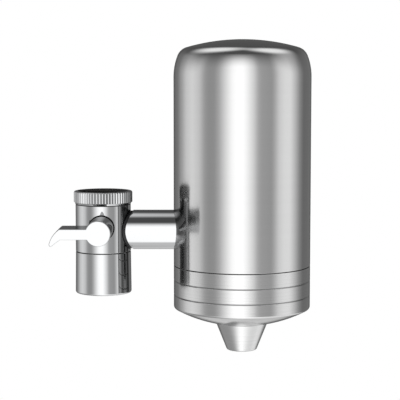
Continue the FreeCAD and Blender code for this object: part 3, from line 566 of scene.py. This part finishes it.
def rounded(corners, steps=4):
    """An outline in which a corner given as (across, up, fillet) is rounded off."""
    line = []
    for index, corner in enumerate(corners):
        here = Vector(corner[:2])
        if len(corner) == 2:
            line.append(tuple(here))
            continue
        back = (Vector(corners[index - 1][:2]) - here).normalized()
        ahead = (Vector(corners[(index + 1) % len(corners)][:2]) - here).normalized()
        half = back.angle(ahead) / 2
        centre = here + (back + ahead).normalized() * corner[2] / math.sin(half)
        run = corner[2] / math.tan(half)
        first, last = here + back * run - centre, here + ahead * run - centre
        line += [tuple(centre + first.slerp(last, step / steps) * corner[2]) for step in range(steps + 1)]
    return line


def lathe(name, outline, steps, centre=0.0, closed=True):
    """Spin an outline of (radius, height) points about an upright axis."""
    points = [Vector((centre + radius, 0, height)) for radius, height in outline]
    piece = draw_line(name, points, closed)
    bpy.ops.mesh.spin(steps=steps, angle=math.tau, center=(centre, 0, 0), axis=(0, 0, 1))
    tidy_mesh()
    return piece


def level_lathe(name, outline, steps, height):
    """Spin an outline of (radius, x) points about an axis along X."""
    points = [Vector((x, 0, height + radius)) for radius, x in outline]
    piece = draw_line(name, points, True)
    bpy.ops.mesh.spin(steps=steps, angle=math.tau, center=(0, 0, height), axis=(1, 0, 0))
    tidy_mesh()
    return piece


def rod(radius, start, end, vertices=96):
    """A cylinder from one point to another, mostly to cut with."""
    start, end = Vector(start), Vector(end)
    clear_selection()
    bpy.ops.mesh.primitive_cylinder_add(
        vertices=vertices,
        radius=radius,
        depth=(end - start).length,
        location=(start + end) / 2,
        rotation=(end - start).to_track_quat("Z", "Y").to_euler(),
    )
    bpy.ops.object.transform_apply()
    return bpy.context.object


def modify(piece, kind, **settings):
    """Give the piece a modifier with these settings and apply it."""
    take(piece)
    bpy.ops.object.modifier_add(type=kind)
    modifier = piece.modifiers[-1]
    for setting, value in settings.items():
        setattr(modifier, setting, value)
    bpy.ops.object.modifier_apply(modifier=modifier.name)


def combine(piece, other, operation):
    """Cut the piece with another, or unite them. The other one is used up and leaves its finish."""
    modify(piece, "BOOLEAN", object=other, operation=operation, solver="EXACT", material_mode="TRANSFER")
    bpy.data.objects.remove(other)


def cut(piece, *tools, bare=None):
    """Cut the piece with each tool in turn. The cut faces take the bare finish, painted near-black as shade,
    if one is given.
    """
    for tool in tools:
        if bare:
            tool.data.materials.append(bare)
        combine(piece, tool, "DIFFERENCE")


def join(piece, *others):
    """Make the others part of the piece's mesh."""
    take(piece)
    for other in others:
        other.select_set(True)
    bpy.ops.object.join()
    return piece


def bevel_edges(piece, width, angle):
    """Round off the edges that turn by more than this angle in degrees."""
    modify(piece, "BEVEL", width=width, segments=4, limit_method="ANGLE", angle_limit=math.radians(angle))


def settle_normals(piece):
    """Smooth shading that keeps the large faces true and the sharp edges sharp."""
    take(piece)
    bpy.ops.object.shade_smooth_by_angle(angle=SMOOTH_ANGLE)
    modify(piece, "WEIGHTED_NORMAL", mode="FACE_AREA", keep_sharp=True)


def thread(name, wall, crest, pitch, low, turns, centre=0.0):
    """A helical thread ridge on a wall of this radius, drawn as one tooth and screwed upwards."""
    sunk = wall + math.copysign(THREAD_SINK, wall - crest)
    foot = pitch * 0.48
    flat = pitch / 8
    corners = [
        Vector((centre + sunk, 0, low + pitch / 2 - foot)),
        Vector((centre + crest, 0, low + pitch / 2 - flat)),
        Vector((centre + crest, 0, low + pitch / 2 + flat)),
        Vector((centre + sunk, 0, low + pitch / 2 + foot)),
    ]
    piece = draw_line(name, corners, True)
    bpy.ops.mesh.edge_face_add()
    steps = int(turns * THREAD_STEPS)
    for _ in range(steps):
        bpy.ops.mesh.extrude_region_move(TRANSFORM_OT_translate={"value": (0, 0, pitch * turns / steps)})
        bpy.ops.transform.rotate(
            value=-math.tau * turns / steps, orient_axis="Z", center_override=(centre, 0, 0)
        )
    tidy_mesh()
    return piece


def ring_select(piece, chosen):
    """Select the vertices that a mask of True and False names."""
    mesh = piece.data
    mesh.polygons.foreach_set("select", np.zeros(len(mesh.polygons), dtype=bool))
    mesh.edges.foreach_set("select", np.zeros(len(mesh.edges), dtype=bool))
    mesh.vertices.foreach_set("select", np.asarray(chosen, dtype=bool))
    mesh.update()


def paint_shade_faces(piece, low, high, reach, centre=0.0):
    """Give the faces between two heights and within a radius the piece's second finish, the near-black
    painted shade.
    """
    for face in piece.data.polygons:
        middle = face.center
        if low < middle.z < high and math.hypot(middle.x - centre, middle.y) < reach:
            face.material_index = 1


def finish_piece(piece, body, slot, material, *nodes):
    """Settle the shading, give the finish and hand the piece to the body that carries it."""
    settle_normals(piece)
    if not piece.data.materials:
        piece.data.materials.append(material)
    piece.data.materials[0] = material
    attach(piece, body)
    if nodes:
        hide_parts(*nodes)


def shared(name, maker, *details):
    """A finish that several pieces share, made once."""
    return bpy.data.materials.get(name) or maker(name, *details)


def chrome():
    return shared("plated_chrome", chrome_finish)


# The near-black painted shade for bores, gaps, seams and recesses, made once.
def bare_casting():
    return shared("bare_casting", painted_shade_finish)


def base_steel():
    return shared("turned_base_steel", turned_finish, 0.11, 0.1)


# Pieces


def knurl(piece, low, high):
    """Press the grooves into the nut's side: each ring of the wall is drawn in where a groove runs."""
    teeth = sizes().knurl_teeth
    depth = sizes().knurl_depth
    half_groove = math.pi / teeth * KNURL_GROOVE_SHARE
    mesh = piece.data
    place = np.empty(len(mesh.vertices) * 3)
    mesh.vertices.foreach_get("co", place)
    place = place.reshape(-1, 3)
    radius = np.hypot(place[:, 0], place[:, 1])
    turn = np.arctan2(place[:, 1], place[:, 0])
    pitch = math.tau / teeth
    from_groove = np.abs((turn + pitch / 2) % pitch - pitch / 2)
    level = np.round(place[:, 2] / WELD)
    outside = (radius > NUT_RADIUS - 2 * depth) & (place[:, 2] > low) & (place[:, 2] < high)
    kinds = np.round(from_groove / pitch * KNURL_COLUMNS)
    for kind in np.unique(kinds[outside]):
        share = max(0.0, 1 - kind / KNURL_COLUMNS * pitch / half_groove)
        groove = NUT_RADIUS - depth * share
        for height in np.unique(level[outside]):
            chosen = outside & (kinds == kind) & (level == height) & (radius > groove + WELD)
            if not chosen.any():
                continue
            take(piece)
            ring_select(piece, chosen)
            factor = groove / radius[chosen].mean()
            bpy.ops.object.mode_set(mode="EDIT")
            bpy.ops.transform.resize(value=(factor, factor, 1), center_override=(0, 0, 0))
            bpy.ops.object.mode_set(mode="OBJECT")


class FILTER_OT_coupling_nut(bpy.types.Operator):
    """Model the knurled nut with its tap thread"""

    bl_idname = "water_filter.coupling_nut"
    bl_label = "Coupling Nut"

    def execute(self, context):
        top, foot = NUT_HIGH.z, NUT_LOW.z
        band = foot + NUT_CONE
        floor = foot + NUT_FLOOR
        outline = rounded([
            (NUT_FLOOR_BORE, foot),
            (NUT_FOOT_RADIUS, foot, NUT_EDGE),
            (NUT_RADIUS - sizes().knurl_depth, band, NUT_EDGE),
            (NUT_RADIUS, band + NUT_BAND_STEP, NUT_EDGE),
            (NUT_RADIUS, top, NUT_TOP_ROUND),
            (NUT_BORE + NUT_MOUTH_WIDTH, top, NUT_EDGE),
            (NUT_BORE, top - NUT_MOUTH_DEPTH),
            (NUT_BORE, floor),
            (NUT_FLOOR_BORE, floor),
        ], 6)
        nut = lathe("knurled_nut", outline, 8 * sizes().knurl_teeth)
        knurl(nut, band + 0.4 * NUT_BAND_STEP, top + MM)
        pitch = sizes().tap_thread_pitch
        start = top - TAP_THREAD_RUN
        join(nut, thread("tap_thread", NUT_BORE, TAP_THREAD_CREST, pitch, start, TAP_THREAD_TURNS))
        nut.data.materials.append(chrome())
        nut.data.materials.append(bare_casting())
        # Painted shade: the bore, the tap thread and the mouth are near-black, so the nut's opening reads
        # dark.
        paint_shade_faces(nut, foot - MM, top + MM, NUT_BORE + NUT_MOUTH_DEPTH)
        finish_piece(nut, "nut", "polished_chrome", chrome(), "coupling_nut")
        return {"FINISHED"}


class FILTER_OT_valve_body(bpy.types.Operator):
    """Model the valve body with its bores, its sockets and the thread for the sleeve"""

    bl_idname = "water_filter.valve_body"
    bl_label = "Valve Body"

    def execute(self, context):
        top, foot = BODY_HIGH.z, BODY_LOW.z
        edge = sizes().edge_round
        thread_wall = SPIGOT_RADIUS - SLEEVE_THREAD_DEPTH
        outline = rounded([
            (WATERWAY, BUSH_SOCKET_FLOOR),
            (BUSH_SOCKET_RADIUS, BUSH_SOCKET_FLOOR),
            (BUSH_SOCKET_RADIUS, top, edge),
            (BODY_RADIUS, top, 2 * edge),
            (BODY_RADIUS, BODY_FOOT, edge),
            (thread_wall, BODY_FOOT),
            (thread_wall, foot, edge),
            (FUNNEL_RADIUS, foot),
            (WATERWAY, foot + FUNNEL_HEIGHT),
        ])
        body = lathe("valve_housing", outline, FINE_STEPS)
        body.data.materials.append(chrome())
        far = 2 * BODY_RADIUS
        # Painted shade: the walls of the bores take the near-black finish, so the gap round the lever's hub
        # reads as a dark ring.
        cut(
            body,
            rod(HUB_HOLE, (0, -far, VALVE_AXIS), (0, HUB_POCKET, VALVE_AXIS), 128),
            rod(CHAMBER_RADIUS, (0, HUB_POCKET - MM, VALVE_AXIS), (0, BACK_POCKET + MM, VALVE_AXIS), 90),
            rod(BACK_POCKET_RADIUS, (0, BACK_POCKET, VALVE_AXIS), (0, far, VALVE_AXIS), 128),
            rod(TUBE_SPIGOT + SPIGOT_FIT, (TUBE_SOCKET, 0, TUBE_AXIS), (far, 0, TUBE_AXIS), 128),
            rod(WATERWAY, (CHAMBER_RADIUS / 2, 0, VALVE_AXIS), (TUBE_SOCKET + MM, 0, VALVE_AXIS)),
            bare=bare_casting(),
        )
        start = foot + SLEEVE_THREAD_START
        join(body, thread(
            "sleeve_thread", thread_wall, SPIGOT_RADIUS, SLEEVE_THREAD_PITCH, start, SLEEVE_THREAD_TURNS
        ))
        # Painted shade: the threaded spigot under the sleeve is near-black.
        paint_shade_faces(body, foot - MM, BODY_FOOT - WELD, SPIGOT_RADIUS + MM)
        # Painted shade: the top face under the nut is near-black, a dark line where the nut meets the body.
        paint_shade_faces(body, top - 1.4 * edge, top + MM, far)
        finish_piece(body, "housing", "polished_chrome", chrome(), "diverter_body")
        return {"FINISHED"}


class FILTER_OT_lever(bpy.types.Operator):
    """Model the lever: a round hub and a deep arm with a turned down tip"""

    bl_idname = "water_filter.lever"
    bl_label = "Lever"

    def execute(self, context):
        front = LEVER_LOW.y
        arm = self.arm(front)
        hub = rod(HUB_RADIUS, (0, front, VALVE_AXIS), (0, LEVER_HIGH.y, VALVE_AXIS), 160)
        hub.name = "lever_handle"
        bevel_edges(hub, sizes().lever_round, 60)
        combine(hub, arm, "UNION")
        cut(
            hub,
            rod(STEM_SOCKET, (0, STEM_END, VALVE_AXIS), (0, LEVER_HIGH.y + MM, VALVE_AXIS)),
            rod(GRUB_HOLE, (0, GRUB_Y, VALVE_AXIS - 2 * HUB_RADIUS), (0, GRUB_Y, VALVE_AXIS), 48),
        )
        finish_piece(hub, "lever", "polished_chrome", chrome(), "lever")
        return {"FINISHED"}

    def arm(self, front):
        """The arm alone, drawn from the side and pulled back from the front to its depth."""
        outline = arc_through(*ARM_TIP, 14) + arc_through(*ARM_NOSE, 6)[1:] + ARM_EDGES
        points = [Vector((x * MM, front, VALVE_AXIS + z * MM)) for x, z in outline]
        arm = draw_line("arm", points, True)
        bpy.ops.mesh.edge_face_add()
        bpy.ops.mesh.extrude_region_move(TRANSFORM_OT_translate={"value": (0, ARM_DEPTH, 0)})
        tidy_mesh()
        bevel_edges(arm, sizes().lever_round, 40)
        return arm


class FILTER_OT_outlet_sleeve(bpy.types.Operator):
    """Model the sleeve under the valve body"""

    bl_idname = "water_filter.outlet_sleeve"
    bl_label = "Outlet Sleeve"

    def execute(self, context):
        top, foot = SLEEVE_HIGH.z, SLEEVE_LOW.z
        edge = sizes().edge_round
        lip = foot + SLEEVE_LIP
        outline = rounded([
            (SLEEVE_BORE, top, edge),
            (BODY_RADIUS, top, edge),
            (SLEEVE_FOOT_RADIUS, foot, SLEEVE_FOOT_ROUND),
            (SLEEVE_MOUTH, foot, edge),
            (SLEEVE_MOUTH, lip),
            (SLEEVE_BORE, lip),
        ], 6)
        sleeve = lathe("lower_sleeve", outline, FINE_STEPS)
        finish_piece(sleeve, "sleeve", "polished_chrome", chrome(), "outlet_sleeve")
        return {"FINISHED"}


class FILTER_OT_connecting_tube(bpy.types.Operator):
    """Model the level tube, hollowed at both ends to the round pieces it joins"""

    bl_idname = "water_filter.connecting_tube"
    bl_label = "Connecting Tube"

    def execute(self, context):
        start, end = TUBE_LOW.x, TUBE_HIGH.x
        low, high = TUBE_AXIS - 30 * MM, TUBE_AXIS + 30 * MM
        core = TUBE_SPIGOT - 0.02 * MM
        inside_can = CANISTER - 20 * MM
        wall = [(TUBE_RADIUS, start), (TUBE_RADIUS, inside_can), (core, inside_can), (core, start)]
        tube = level_lathe("level_tube", wall, 256, TUBE_AXIS)
        cut(
            tube,
            rod(BODY_RADIUS + GASKET_THICKNESS, (0, 0, low), (0, 0, high), 256),
            rod(CANISTER_RADIUS + SPIGOT_FIT, (CANISTER, 0, low), (CANISTER, 0, high), 360),
        )
        spigot = [(TUBE_SPIGOT, start), (TUBE_SPIGOT, end), (TUBE_BORE, end), (TUBE_BORE, start)]
        join(tube, level_lathe("spigot", spigot, 128, TUBE_AXIS))
        finish_piece(tube, "housing", "polished_chrome", chrome(), "connecting_tube")
        return {"FINISHED"}


def meeting_centre(centre_a, reach_a, centre_b, reach_b):
    """The point that lies reach_a from centre_a and reach_b from centre_b, on the outer side."""
    a, b = Vector(centre_a), Vector(centre_b)
    step = b - a
    span = step.length
    along = (reach_a ** 2 - reach_b ** 2 + span ** 2) / (2 * span)
    aside = math.sqrt(reach_a ** 2 - along ** 2)
    across = Vector((-step.y, step.x)) / span
    return a + step / span * along + across * aside


def head_line(inset, top):
    """The domed head from the side wall up to the middle, as (radius, height) points."""
    crown = (0.0, top - CROWN_RADIUS)
    side = (CANISTER_RADIUS - SIDE_ARC_RADIUS, SIDE_ARC_START)
    shoulder = meeting_centre(
        side, SIDE_ARC_RADIUS - SHOULDER_RADIUS, crown, CROWN_RADIUS - SHOULDER_RADIUS
    )
    low = math.atan2(shoulder.y - side[1], shoulder.x - side[0])
    high = math.atan2(shoulder.y - crown[1], shoulder.x - crown[0])
    line = arc(side, SIDE_ARC_RADIUS - inset, 0, low, 16)
    line += arc(shoulder, SHOULDER_RADIUS - inset, low, high, 14)[1:]
    line += arc(crown, CROWN_RADIUS - inset, high, math.pi / 2, 26)[1:]
    return line


class FILTER_OT_canister(bpy.types.Operator):
    """Model the drawn steel can with its domed head"""

    bl_idname = "water_filter.canister"
    bl_label = "Canister"

    def execute(self, context):
        top, foot = SHELL_HIGH.z, SHELL_LOW.z
        inner = head_line(SHELL_WALL, top)[::-1]
        foot_line = rounded([
            inner[-1],
            (CANISTER_RADIUS - SHELL_WALL, foot, SHELL_EDGE),
            (CANISTER_RADIUS, foot, SHELL_EDGE),
            (CANISTER_RADIUS, SIDE_ARC_START),
        ])
        outline = inner[:-1] + foot_line[:-1] + head_line(0, top)
        can = lathe("canister_shell", outline, FINE_STEPS, CANISTER, closed=False)
        cut(can, rod(TUBE_SPIGOT + SPIGOT_FIT, (0, 0, TUBE_AXIS), (CANISTER, 0, TUBE_AXIS)))
        satin = shared("drawn_satin_steel", satin_finish)
        finish_piece(can, "housing", "satin_steel", satin, "housing_shell")
        return {"FINISHED"}


class FILTER_OT_base(bpy.types.Operator):
    """Model the screwed base with its two grooves, its thread and its shallow dome"""

    bl_idname = "water_filter.base"
    bl_label = "Screwed Base"

    def execute(self, context):
        top = SHELL_LOW.z - BASE_SEAM
        corner = top - BASE_SIDE
        dome = corner + math.sqrt(DOME_RADIUS ** 2 - CANISTER_RADIUS ** 2)
        seat = dome - math.sqrt(DOME_RADIUS ** 2 - NOZZLE_SEAT_RADIUS ** 2)
        boss_top = seat + BOSS_HEIGHT
        socket_floor = boss_top - CARTRIDGE_SOCKET_DEPTH
        spigot = BASE_THREAD_CREST - BASE_THREAD_DEPTH
        spigot_top = top + BASE_SPIGOT_HEIGHT
        dome_line = self.dome_line(dome, corner, seat)
        outline = rounded([
            (WATER_HOLE, socket_floor),
            (CARTRIDGE_SOCKET, socket_floor),
            (CARTRIDGE_SOCKET, boss_top),
            (BOSS_RADIUS, boss_top),
            (BOSS_RADIUS, seat + BASE_ROOM_FLOOR_BY_BOSS),
            (BASE_ROOM, corner + BASE_ROOM_FLOOR_BY_WALL),
            (BASE_ROOM, top - BASE_ROOM_TOP),
            (BASE_MOUTH, top - BASE_MOUTH_FOOT),
            (BASE_MOUTH, spigot_top),
            (spigot, spigot_top, BASE_SPIGOT_ROUND),
            (spigot, top),
            (CANISTER_RADIUS, top, BASE_EDGE),
            *self.groove(top - BASE_BAND),
            *self.groove(top - BASE_BAND - BASE_BAND),
            (CANISTER_RADIUS, corner, FOOT_ROUND),
            dome_line[0],
        ], 6)
        outline += dome_line[1:] + [
            (NOZZLE_THREAD, seat),
            (NOZZLE_THREAD, socket_floor - BASE_WEB),
            (WATER_HOLE, socket_floor - BASE_WEB),
        ]
        base = lathe("turned_base", outline, FINE_STEPS, CANISTER)
        pitch = sizes().base_thread_pitch
        start = top + BASE_THREAD_START
        join(base, thread(
            "base_thread", spigot, BASE_THREAD_CREST, pitch, start, BASE_THREAD_TURNS, CANISTER
        ))
        base.data.materials.append(base_steel())
        base.data.materials.append(bare_casting())
        # Painted shade: the top face and the spigot under the seam are near-black, so the seam reads as a
        # dark line.
        paint_shade_faces(base, top - WELD, start, CANISTER_RADIUS - BASE_EDGE, CANISTER)
        finish_piece(base, "base", "satin_steel", base_steel(), "base_cap")
        return {"FINISHED"}

    def groove(self, middle):
        """The corners of a turned groove in the side."""
        return [
            (CANISTER_RADIUS, middle + GROOVE_HALF_WIDTH, GROOVE_EDGE),
            (CANISTER_RADIUS - sizes().groove_depth, middle, GROOVE_EDGE),
            (CANISTER_RADIUS, middle - GROOVE_HALF_WIDTH, GROOVE_EDGE),
        ]

    def dome_line(self, dome, corner, seat):
        """The shallow dome from inside the rounded foot to the nozzle's seat."""
        start = math.atan2(corner - dome, CANISTER_RADIUS)
        end = math.atan2(seat - dome, NOZZLE_SEAT_RADIUS)
        line = arc((0.0, dome), DOME_RADIUS, start, end, 30)
        return [point for point in line if point[0] < CANISTER_RADIUS - 2.2 * FOOT_ROUND]


class FILTER_OT_nozzle(bpy.types.Operator):
    """Model the tapered outlet nozzle"""

    bl_idname = "water_filter.nozzle"
    bl_label = "Outlet Nozzle"

    def execute(self, context):
        top, foot = NOZZLE_HIGH.z, NOZZLE_LOW.z
        seat = foot + NOZZLE_HEIGHT
        outline = rounded([
            (NOZZLE_BORE, foot, NOZZLE_MOUTH_ROUND),
            (NOZZLE_TIP_RADIUS, foot, NOZZLE_TIP_ROUND),
            (NOZZLE_SEAT_RADIUS, seat, NOZZLE_EDGE),
            (NOZZLE_SPIGOT, seat),
            (NOZZLE_SPIGOT, top),
            (NOZZLE_BORE, top),
        ], 6)
        nozzle = lathe("spout_nozzle", outline, 256, CANISTER)
        steel = shared("turned_nozzle_steel", turned_finish, 0.14, 0.08)
        finish_piece(nozzle, "base", "turned_steel", steel, "outlet_nozzle")
        return {"FINISHED"}


def woven_disc(name, radius, low, high):
    """A strainer of woven wire inside a pressed rim. Two wires are drawn, copied both ways and trimmed."""
    pitch = sizes().mesh_pitch
    hole = radius - RIM_WIDTH
    count = int(hole / pitch)
    patterns = [bent_wire(count, (low + high) / 2, side) for side in (1, -1)]
    wires = []
    for across in (False, True):
        for index in range(-count, count + 1):
            wires.append(copy_wire(patterns[(index + across) % 2], index * pitch, across))
    for pattern in patterns:
        bpy.data.objects.remove(pattern)
    weave = join(*wires)
    weave.name = name
    trim_round(weave, radius - RIM_WIDTH / 2)
    rim = [(hole, low, RIM_EDGE), (hole, high, RIM_EDGE), (radius, high, RIM_EDGE), (radius, low, RIM_EDGE)]
    return join(weave, lathe("rim", rounded(rim, 3), 128))


def bent_wire(count, middle, side):
    """A wire that passes over and under those it crosses. It begins over them for side 1, under for -1."""
    pitch = sizes().mesh_pitch
    clear_selection()
    bpy.ops.mesh.primitive_circle_add(
        vertices=6, radius=WIRE_RADIUS, fill_type="NGON", rotation=(0, math.pi / 2, 0)
    )
    bpy.ops.object.transform_apply()
    bpy.ops.object.mode_set(mode="EDIT")
    bpy.ops.mesh.select_all(action="SELECT")
    bpy.ops.transform.translate(value=(-(count + 0.5) * pitch, 0, middle))
    lift = side * WIRE_LIFT
    height = 0.0
    for step in range(2 * (2 * count + 1)):
        target = (lift, 0.0, -lift, 0.0)[step % 4]
        bpy.ops.mesh.extrude_region_move(TRANSFORM_OT_translate={"value": (pitch / 2, 0, target - height)})
        height = target
    bpy.ops.object.mode_set(mode="OBJECT")
    return bpy.context.object


def copy_wire(pattern, shift, across):
    """A copy of a wire, moved sideways, and turned square to the others where it runs across them."""
    take(pattern)
    bpy.ops.object.duplicate()
    wire = bpy.context.object
    wire.location = (-shift, 0, 0) if across else (0, shift, 0)
    wire.rotation_euler = (0, 0, math.pi / 2 if across else 0)
    bpy.ops.object.transform_apply()
    return wire


def trim_round(piece, radius, sides=48):
    """Cut away what lies outside a circle, one straight cut after the other."""
    take(piece)
    bpy.ops.object.mode_set(mode="EDIT")
    for side in range(sides):
        turn = math.tau * side / sides
        outward = (math.cos(turn), math.sin(turn), 0)
        bpy.ops.mesh.select_all(action="SELECT")
        bpy.ops.mesh.bisect(
            plane_co=(radius * outward[0], radius * outward[1], 0), plane_no=outward, clear_outer=True,
            use_fill=True, threshold=WELD / 10,
        )
    bpy.ops.mesh.select_all(action="SELECT")
    bpy.ops.mesh.fill_holes(sides=0)
    bpy.ops.object.mode_set(mode="OBJECT")


class FILTER_OT_strainers(bpy.types.Operator):
    """Weave the inlet strainer and the spray strainer"""

    bl_idname = "water_filter.strainers"
    bl_label = "Strainers"

    def execute(self, context):
        steel = shared("woven_steel", steel_finish, 0.28)
        places = ("inlet_mesh", "inlet_screen", "housing"), ("spray_mesh", "spray_screen", "spray")
        for name, node, body in places:
            low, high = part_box(node)
            mesh = woven_disc(name, high.x, low.z, high.z)
            finish_piece(mesh, body, "steel_mesh", steel, node)
        return {"FINISHED"}


class FILTER_OT_inner_finishes(bpy.types.Operator):
    """Give the pieces that keep their CAD shape their finishes"""

    bl_idname = "water_filter.inner_finishes"
    bl_label = "Inner Finishes"

    def execute(self, context):
        colours = finishes()
        brass = shared("machined_brass", brass_finish)
        steel = shared("screw_steel", steel_finish, 0.25)
        dark, light = shade(colours.rubber, 0.8), shade(colours.rubber, 1.5)
        rubber = shared("seal_rubber", matt_finish, dark, light, 0.55, 1400, 0.02 * MM)
        dark, light = shade(colours.plastic, 0.96), colours.plastic
        plastic = shared("moulded_plastic", matt_finish, dark, light, 0.35, 700, 0.01 * MM)
        dark, light = shade(colours.ceramic, 0.9), colours.ceramic
        ceramic = shared("porous_ceramic", matt_finish, dark, light, 0.75, 1100, 0.05 * MM)
        dark, light = (0.6, 0.6, 0.57), (0.82, 0.82, 0.8)
        felt = shared("pressed_felt", matt_finish, dark, light, 0.85, 2200, 0.1 * MM)
        dark, light = (0.012, 0.012, 0.012), (0.07, 0.07, 0.07)
        carbon = shared("carbon_block", matt_finish, dark, light, 0.7, 1600, 0.12 * MM)
        by_finish = (
            (brass, ("swivel_bush", "valve_spool", "thrust_washer", "locknut")),
            (steel, ("spool_screw", "lever_grub_screw")),
            (chrome(), ("back_cap",)),
            (base_steel(), ("mouth_ring",)),
            (rubber, (
                "inlet_washer", "tube_gasket", "spool_front_seal", "spool_back_seal", "outlet_washer",
                "wall_gasket", "base_gasket", "nozzle_washer", "cartridge_seal",
            )),
            (plastic, ("spray_insert", "cartridge_foot", "cartridge_head")),
            (ceramic, ("ceramic_tube",)),
            (felt, ("felt_pad",)),
            (carbon, ("carbon_core",)),
        )
        for material, names in by_finish:
            for name in names:
                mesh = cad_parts[name].data
                mesh.materials.clear()
                mesh.materials.append(material)
        return {"FINISHED"}


# Stage


def glow(name, strength):
    """A surface that only shines, in white unless it is given another colour."""
    return Finish(name, Base_Color=(0, 0, 0, 1), Specular_IOR_Level=0.0, Emission_Strength=strength)


class FILTER_OT_stage(bpy.types.Operator):
    """Set up the floor, the backdrop, the soft light and the camera"""

    bl_idname = "water_filter.stage"
    bl_label = "Stage"

    def execute(self, context):
        self.backdrop()
        self.tent()
        self.world()
        self.camera()
        context.scene.view_settings.view_transform = "Standard"
        return {"FINISHED"}

    def backdrop(self):
        """The floor, the curved wall round it and the inward curve above, as one round bowl."""
        wall = FLOOR_REACH + FLOOR_CURVE
        profile = [(0.0, FLOOR_LEVEL), (FLOOR_REACH, FLOOR_LEVEL)]
        profile += arc((FLOOR_REACH, FLOOR_LEVEL + FLOOR_CURVE), FLOOR_CURVE, -math.pi / 2, 0, 8)[1:]
        profile += [(wall, WALL_TOP)] + arc((wall - TOP_CURVE, WALL_TOP), TOP_CURVE, 0, math.pi / 2, 10)[1:]
        bowl = lathe("floor_and_backdrop", profile, 64, STAGE_CENTRE.x, closed=False)
        bowl.data.materials.append(glow("backdrop_white", 1.0).material)
        bowl.visible_glossy = False
        bowl.visible_diffuse = False
        bowl.visible_shadow = False

    def tent(self):
        """A tent of soft light round the stage, brighter and darker by direction."""
        line = arc((0.0, 0.0), TENT_RADIUS, -math.pi / 2, math.pi / 2, 48)
        tent = lathe("light_tent", line, 96, STAGE_CENTRE.x, closed=False)
        finish = glow("tent_light", TENT_GLOW)
        from_centre = finish.node("VectorMath", {"operation": "SUBTRACT"}, finish.place, STAGE_CENTRE)
        towards = finish.node("VectorMath", {"operation": "NORMALIZE"}, from_centre)
        across, back, up = [finish.node("SeparateXYZ", {}, towards, output=axis) for axis in "XYZ"]
        turn = across.math("ARCTAN2", 0 - back) * math.degrees(1)
        height = up + back.math("MINIMUM", 0.0) * FRONT_IS_TALLER
        level = self.graph(finish, turn, ROUND_ABOUT) * self.graph(finish, height, HEIGHT_SHARE)
        floor = self.graph(finish, up, FLOOR_SHARE)
        low = self.graph(finish, turn, LOW_ROUND) * (1 - floor) + floor * FLOOR_LIGHT
        lowness = self.graph(finish, up + back.math("MAXIMUM", 0.0) * BACK_IS_DEEPER, LOW_SHARE)
        bounces = finish.node("LightPath", output="Ray Depth") - 1.0
        dimmed = finish.node("Math", {"operation": "POWER"}, SECOND_SIGHT, bounces.math("MAXIMUM", 0.0))
        above = level + self.lamps(finish, towards) * up.math("GREATER_THAN", 0.0) + CEILING_LIGHT
        finish.set("Emission Color", above * dimmed * (1 - lowness) + low * lowness)
        tent.data.materials.append(finish.material)
        tent.visible_camera = False

    def graph(self, finish, value, points):
        """Read a value off the line through (position, level) points."""
        first, last = points[0][0], points[-1][0]
        stops = [((position - first) / (last - first), level / BRIGHTEST) for position, level in points]
        return finish.node("ValToRGB", {"stops": stops}, (value - first) * (1 / (last - first))) * BRIGHTEST

    def lamps(self, finish, towards):
        """The light of the round lamps, with soft edges."""
        flat = finish.node("VectorMath", {"operation": "MULTIPLY"}, towards, (1, 1, 0))
        light = 0
        for middle in LAMPS:
            apart = finish.node("VectorMath", {"operation": "DISTANCE"}, flat, (*middle, 0), output="Value")
            fall = (LAMP_CORE, LAMP_EDGE, LAMP_LIGHT, 0.0)
            light = light + finish.node("MapRange", {"interpolation_type": "SMOOTHSTEP"}, apart, *fall)
        return light

    def world(self):
        world = bpy.data.worlds.new("studio")
        world.use_nodes = True
        ground = world.node_tree.nodes["Background"]
        ground.inputs["Color"].default_value = (1, 1, 1, 1)
        ground.inputs["Strength"].default_value = WORLD_GLOW
        bpy.context.scene.world = world

    def camera(self):
        clear_selection()
        bpy.ops.object.camera_add(location=CAMERA_PLACE, rotation=(CAMERA_TILT, 0, 0))
        camera = bpy.context.object
        camera.data.lens = CAMERA_LENS
        camera.data.clip_start = 0.05
        bpy.context.scene.camera = camera


OPERATORS = (
    FILTER_OT_stage,
    FILTER_OT_coupling_nut,
    FILTER_OT_valve_body,
    FILTER_OT_lever,
    FILTER_OT_outlet_sleeve,
    FILTER_OT_connecting_tube,
    FILTER_OT_canister,
    FILTER_OT_base,
    FILTER_OT_nozzle,
    FILTER_OT_strainers,
    FILTER_OT_inner_finishes,
)


class FILTER_PT_sidebar(bpy.types.Panel):
    """Lists the filter's pieces, its sizes and its colours"""

    bl_idname = "FILTER_PT_sidebar"
    bl_label = "Water Filter"
    bl_space_type = "VIEW_3D"
    bl_region_type = "UI"
    bl_category = "Water Filter"

    def draw(self, context):
        column = self.layout.column()
        for operator in OPERATORS:
            column.operator(operator.bl_idname)
        for group in (sizes(), finishes()):
            for name in group.__annotations__:
                column.prop(group, name)


CLASSES = (FilterSizes, FilterFinishes) + OPERATORS + (FILTER_PT_sidebar,)


def register():
    for cls in CLASSES:
        bpy.utils.register_class(cls)
    bpy.types.Scene.filter_sizes = bpy.props.PointerProperty(type=FilterSizes)
    bpy.types.Scene.filter_finishes = bpy.props.PointerProperty(type=FilterFinishes)


def unregister():
    del bpy.types.Scene.filter_finishes
    del bpy.types.Scene.filter_sizes
    for cls in reversed(CLASSES):
        bpy.utils.unregister_class(cls)


def main():
    register()
    bpy.ops.water_filter.stage()
    bpy.ops.water_filter.coupling_nut()
    bpy.ops.water_filter.valve_body()
    bpy.ops.water_filter.lever()
    bpy.ops.water_filter.outlet_sleeve()
    bpy.ops.water_filter.connecting_tube()
    bpy.ops.water_filter.canister()
    bpy.ops.water_filter.base()
    bpy.ops.water_filter.nozzle()
    bpy.ops.water_filter.strainers()
    bpy.ops.water_filter.inner_finishes()


if __name__ == "__main__":
    main()
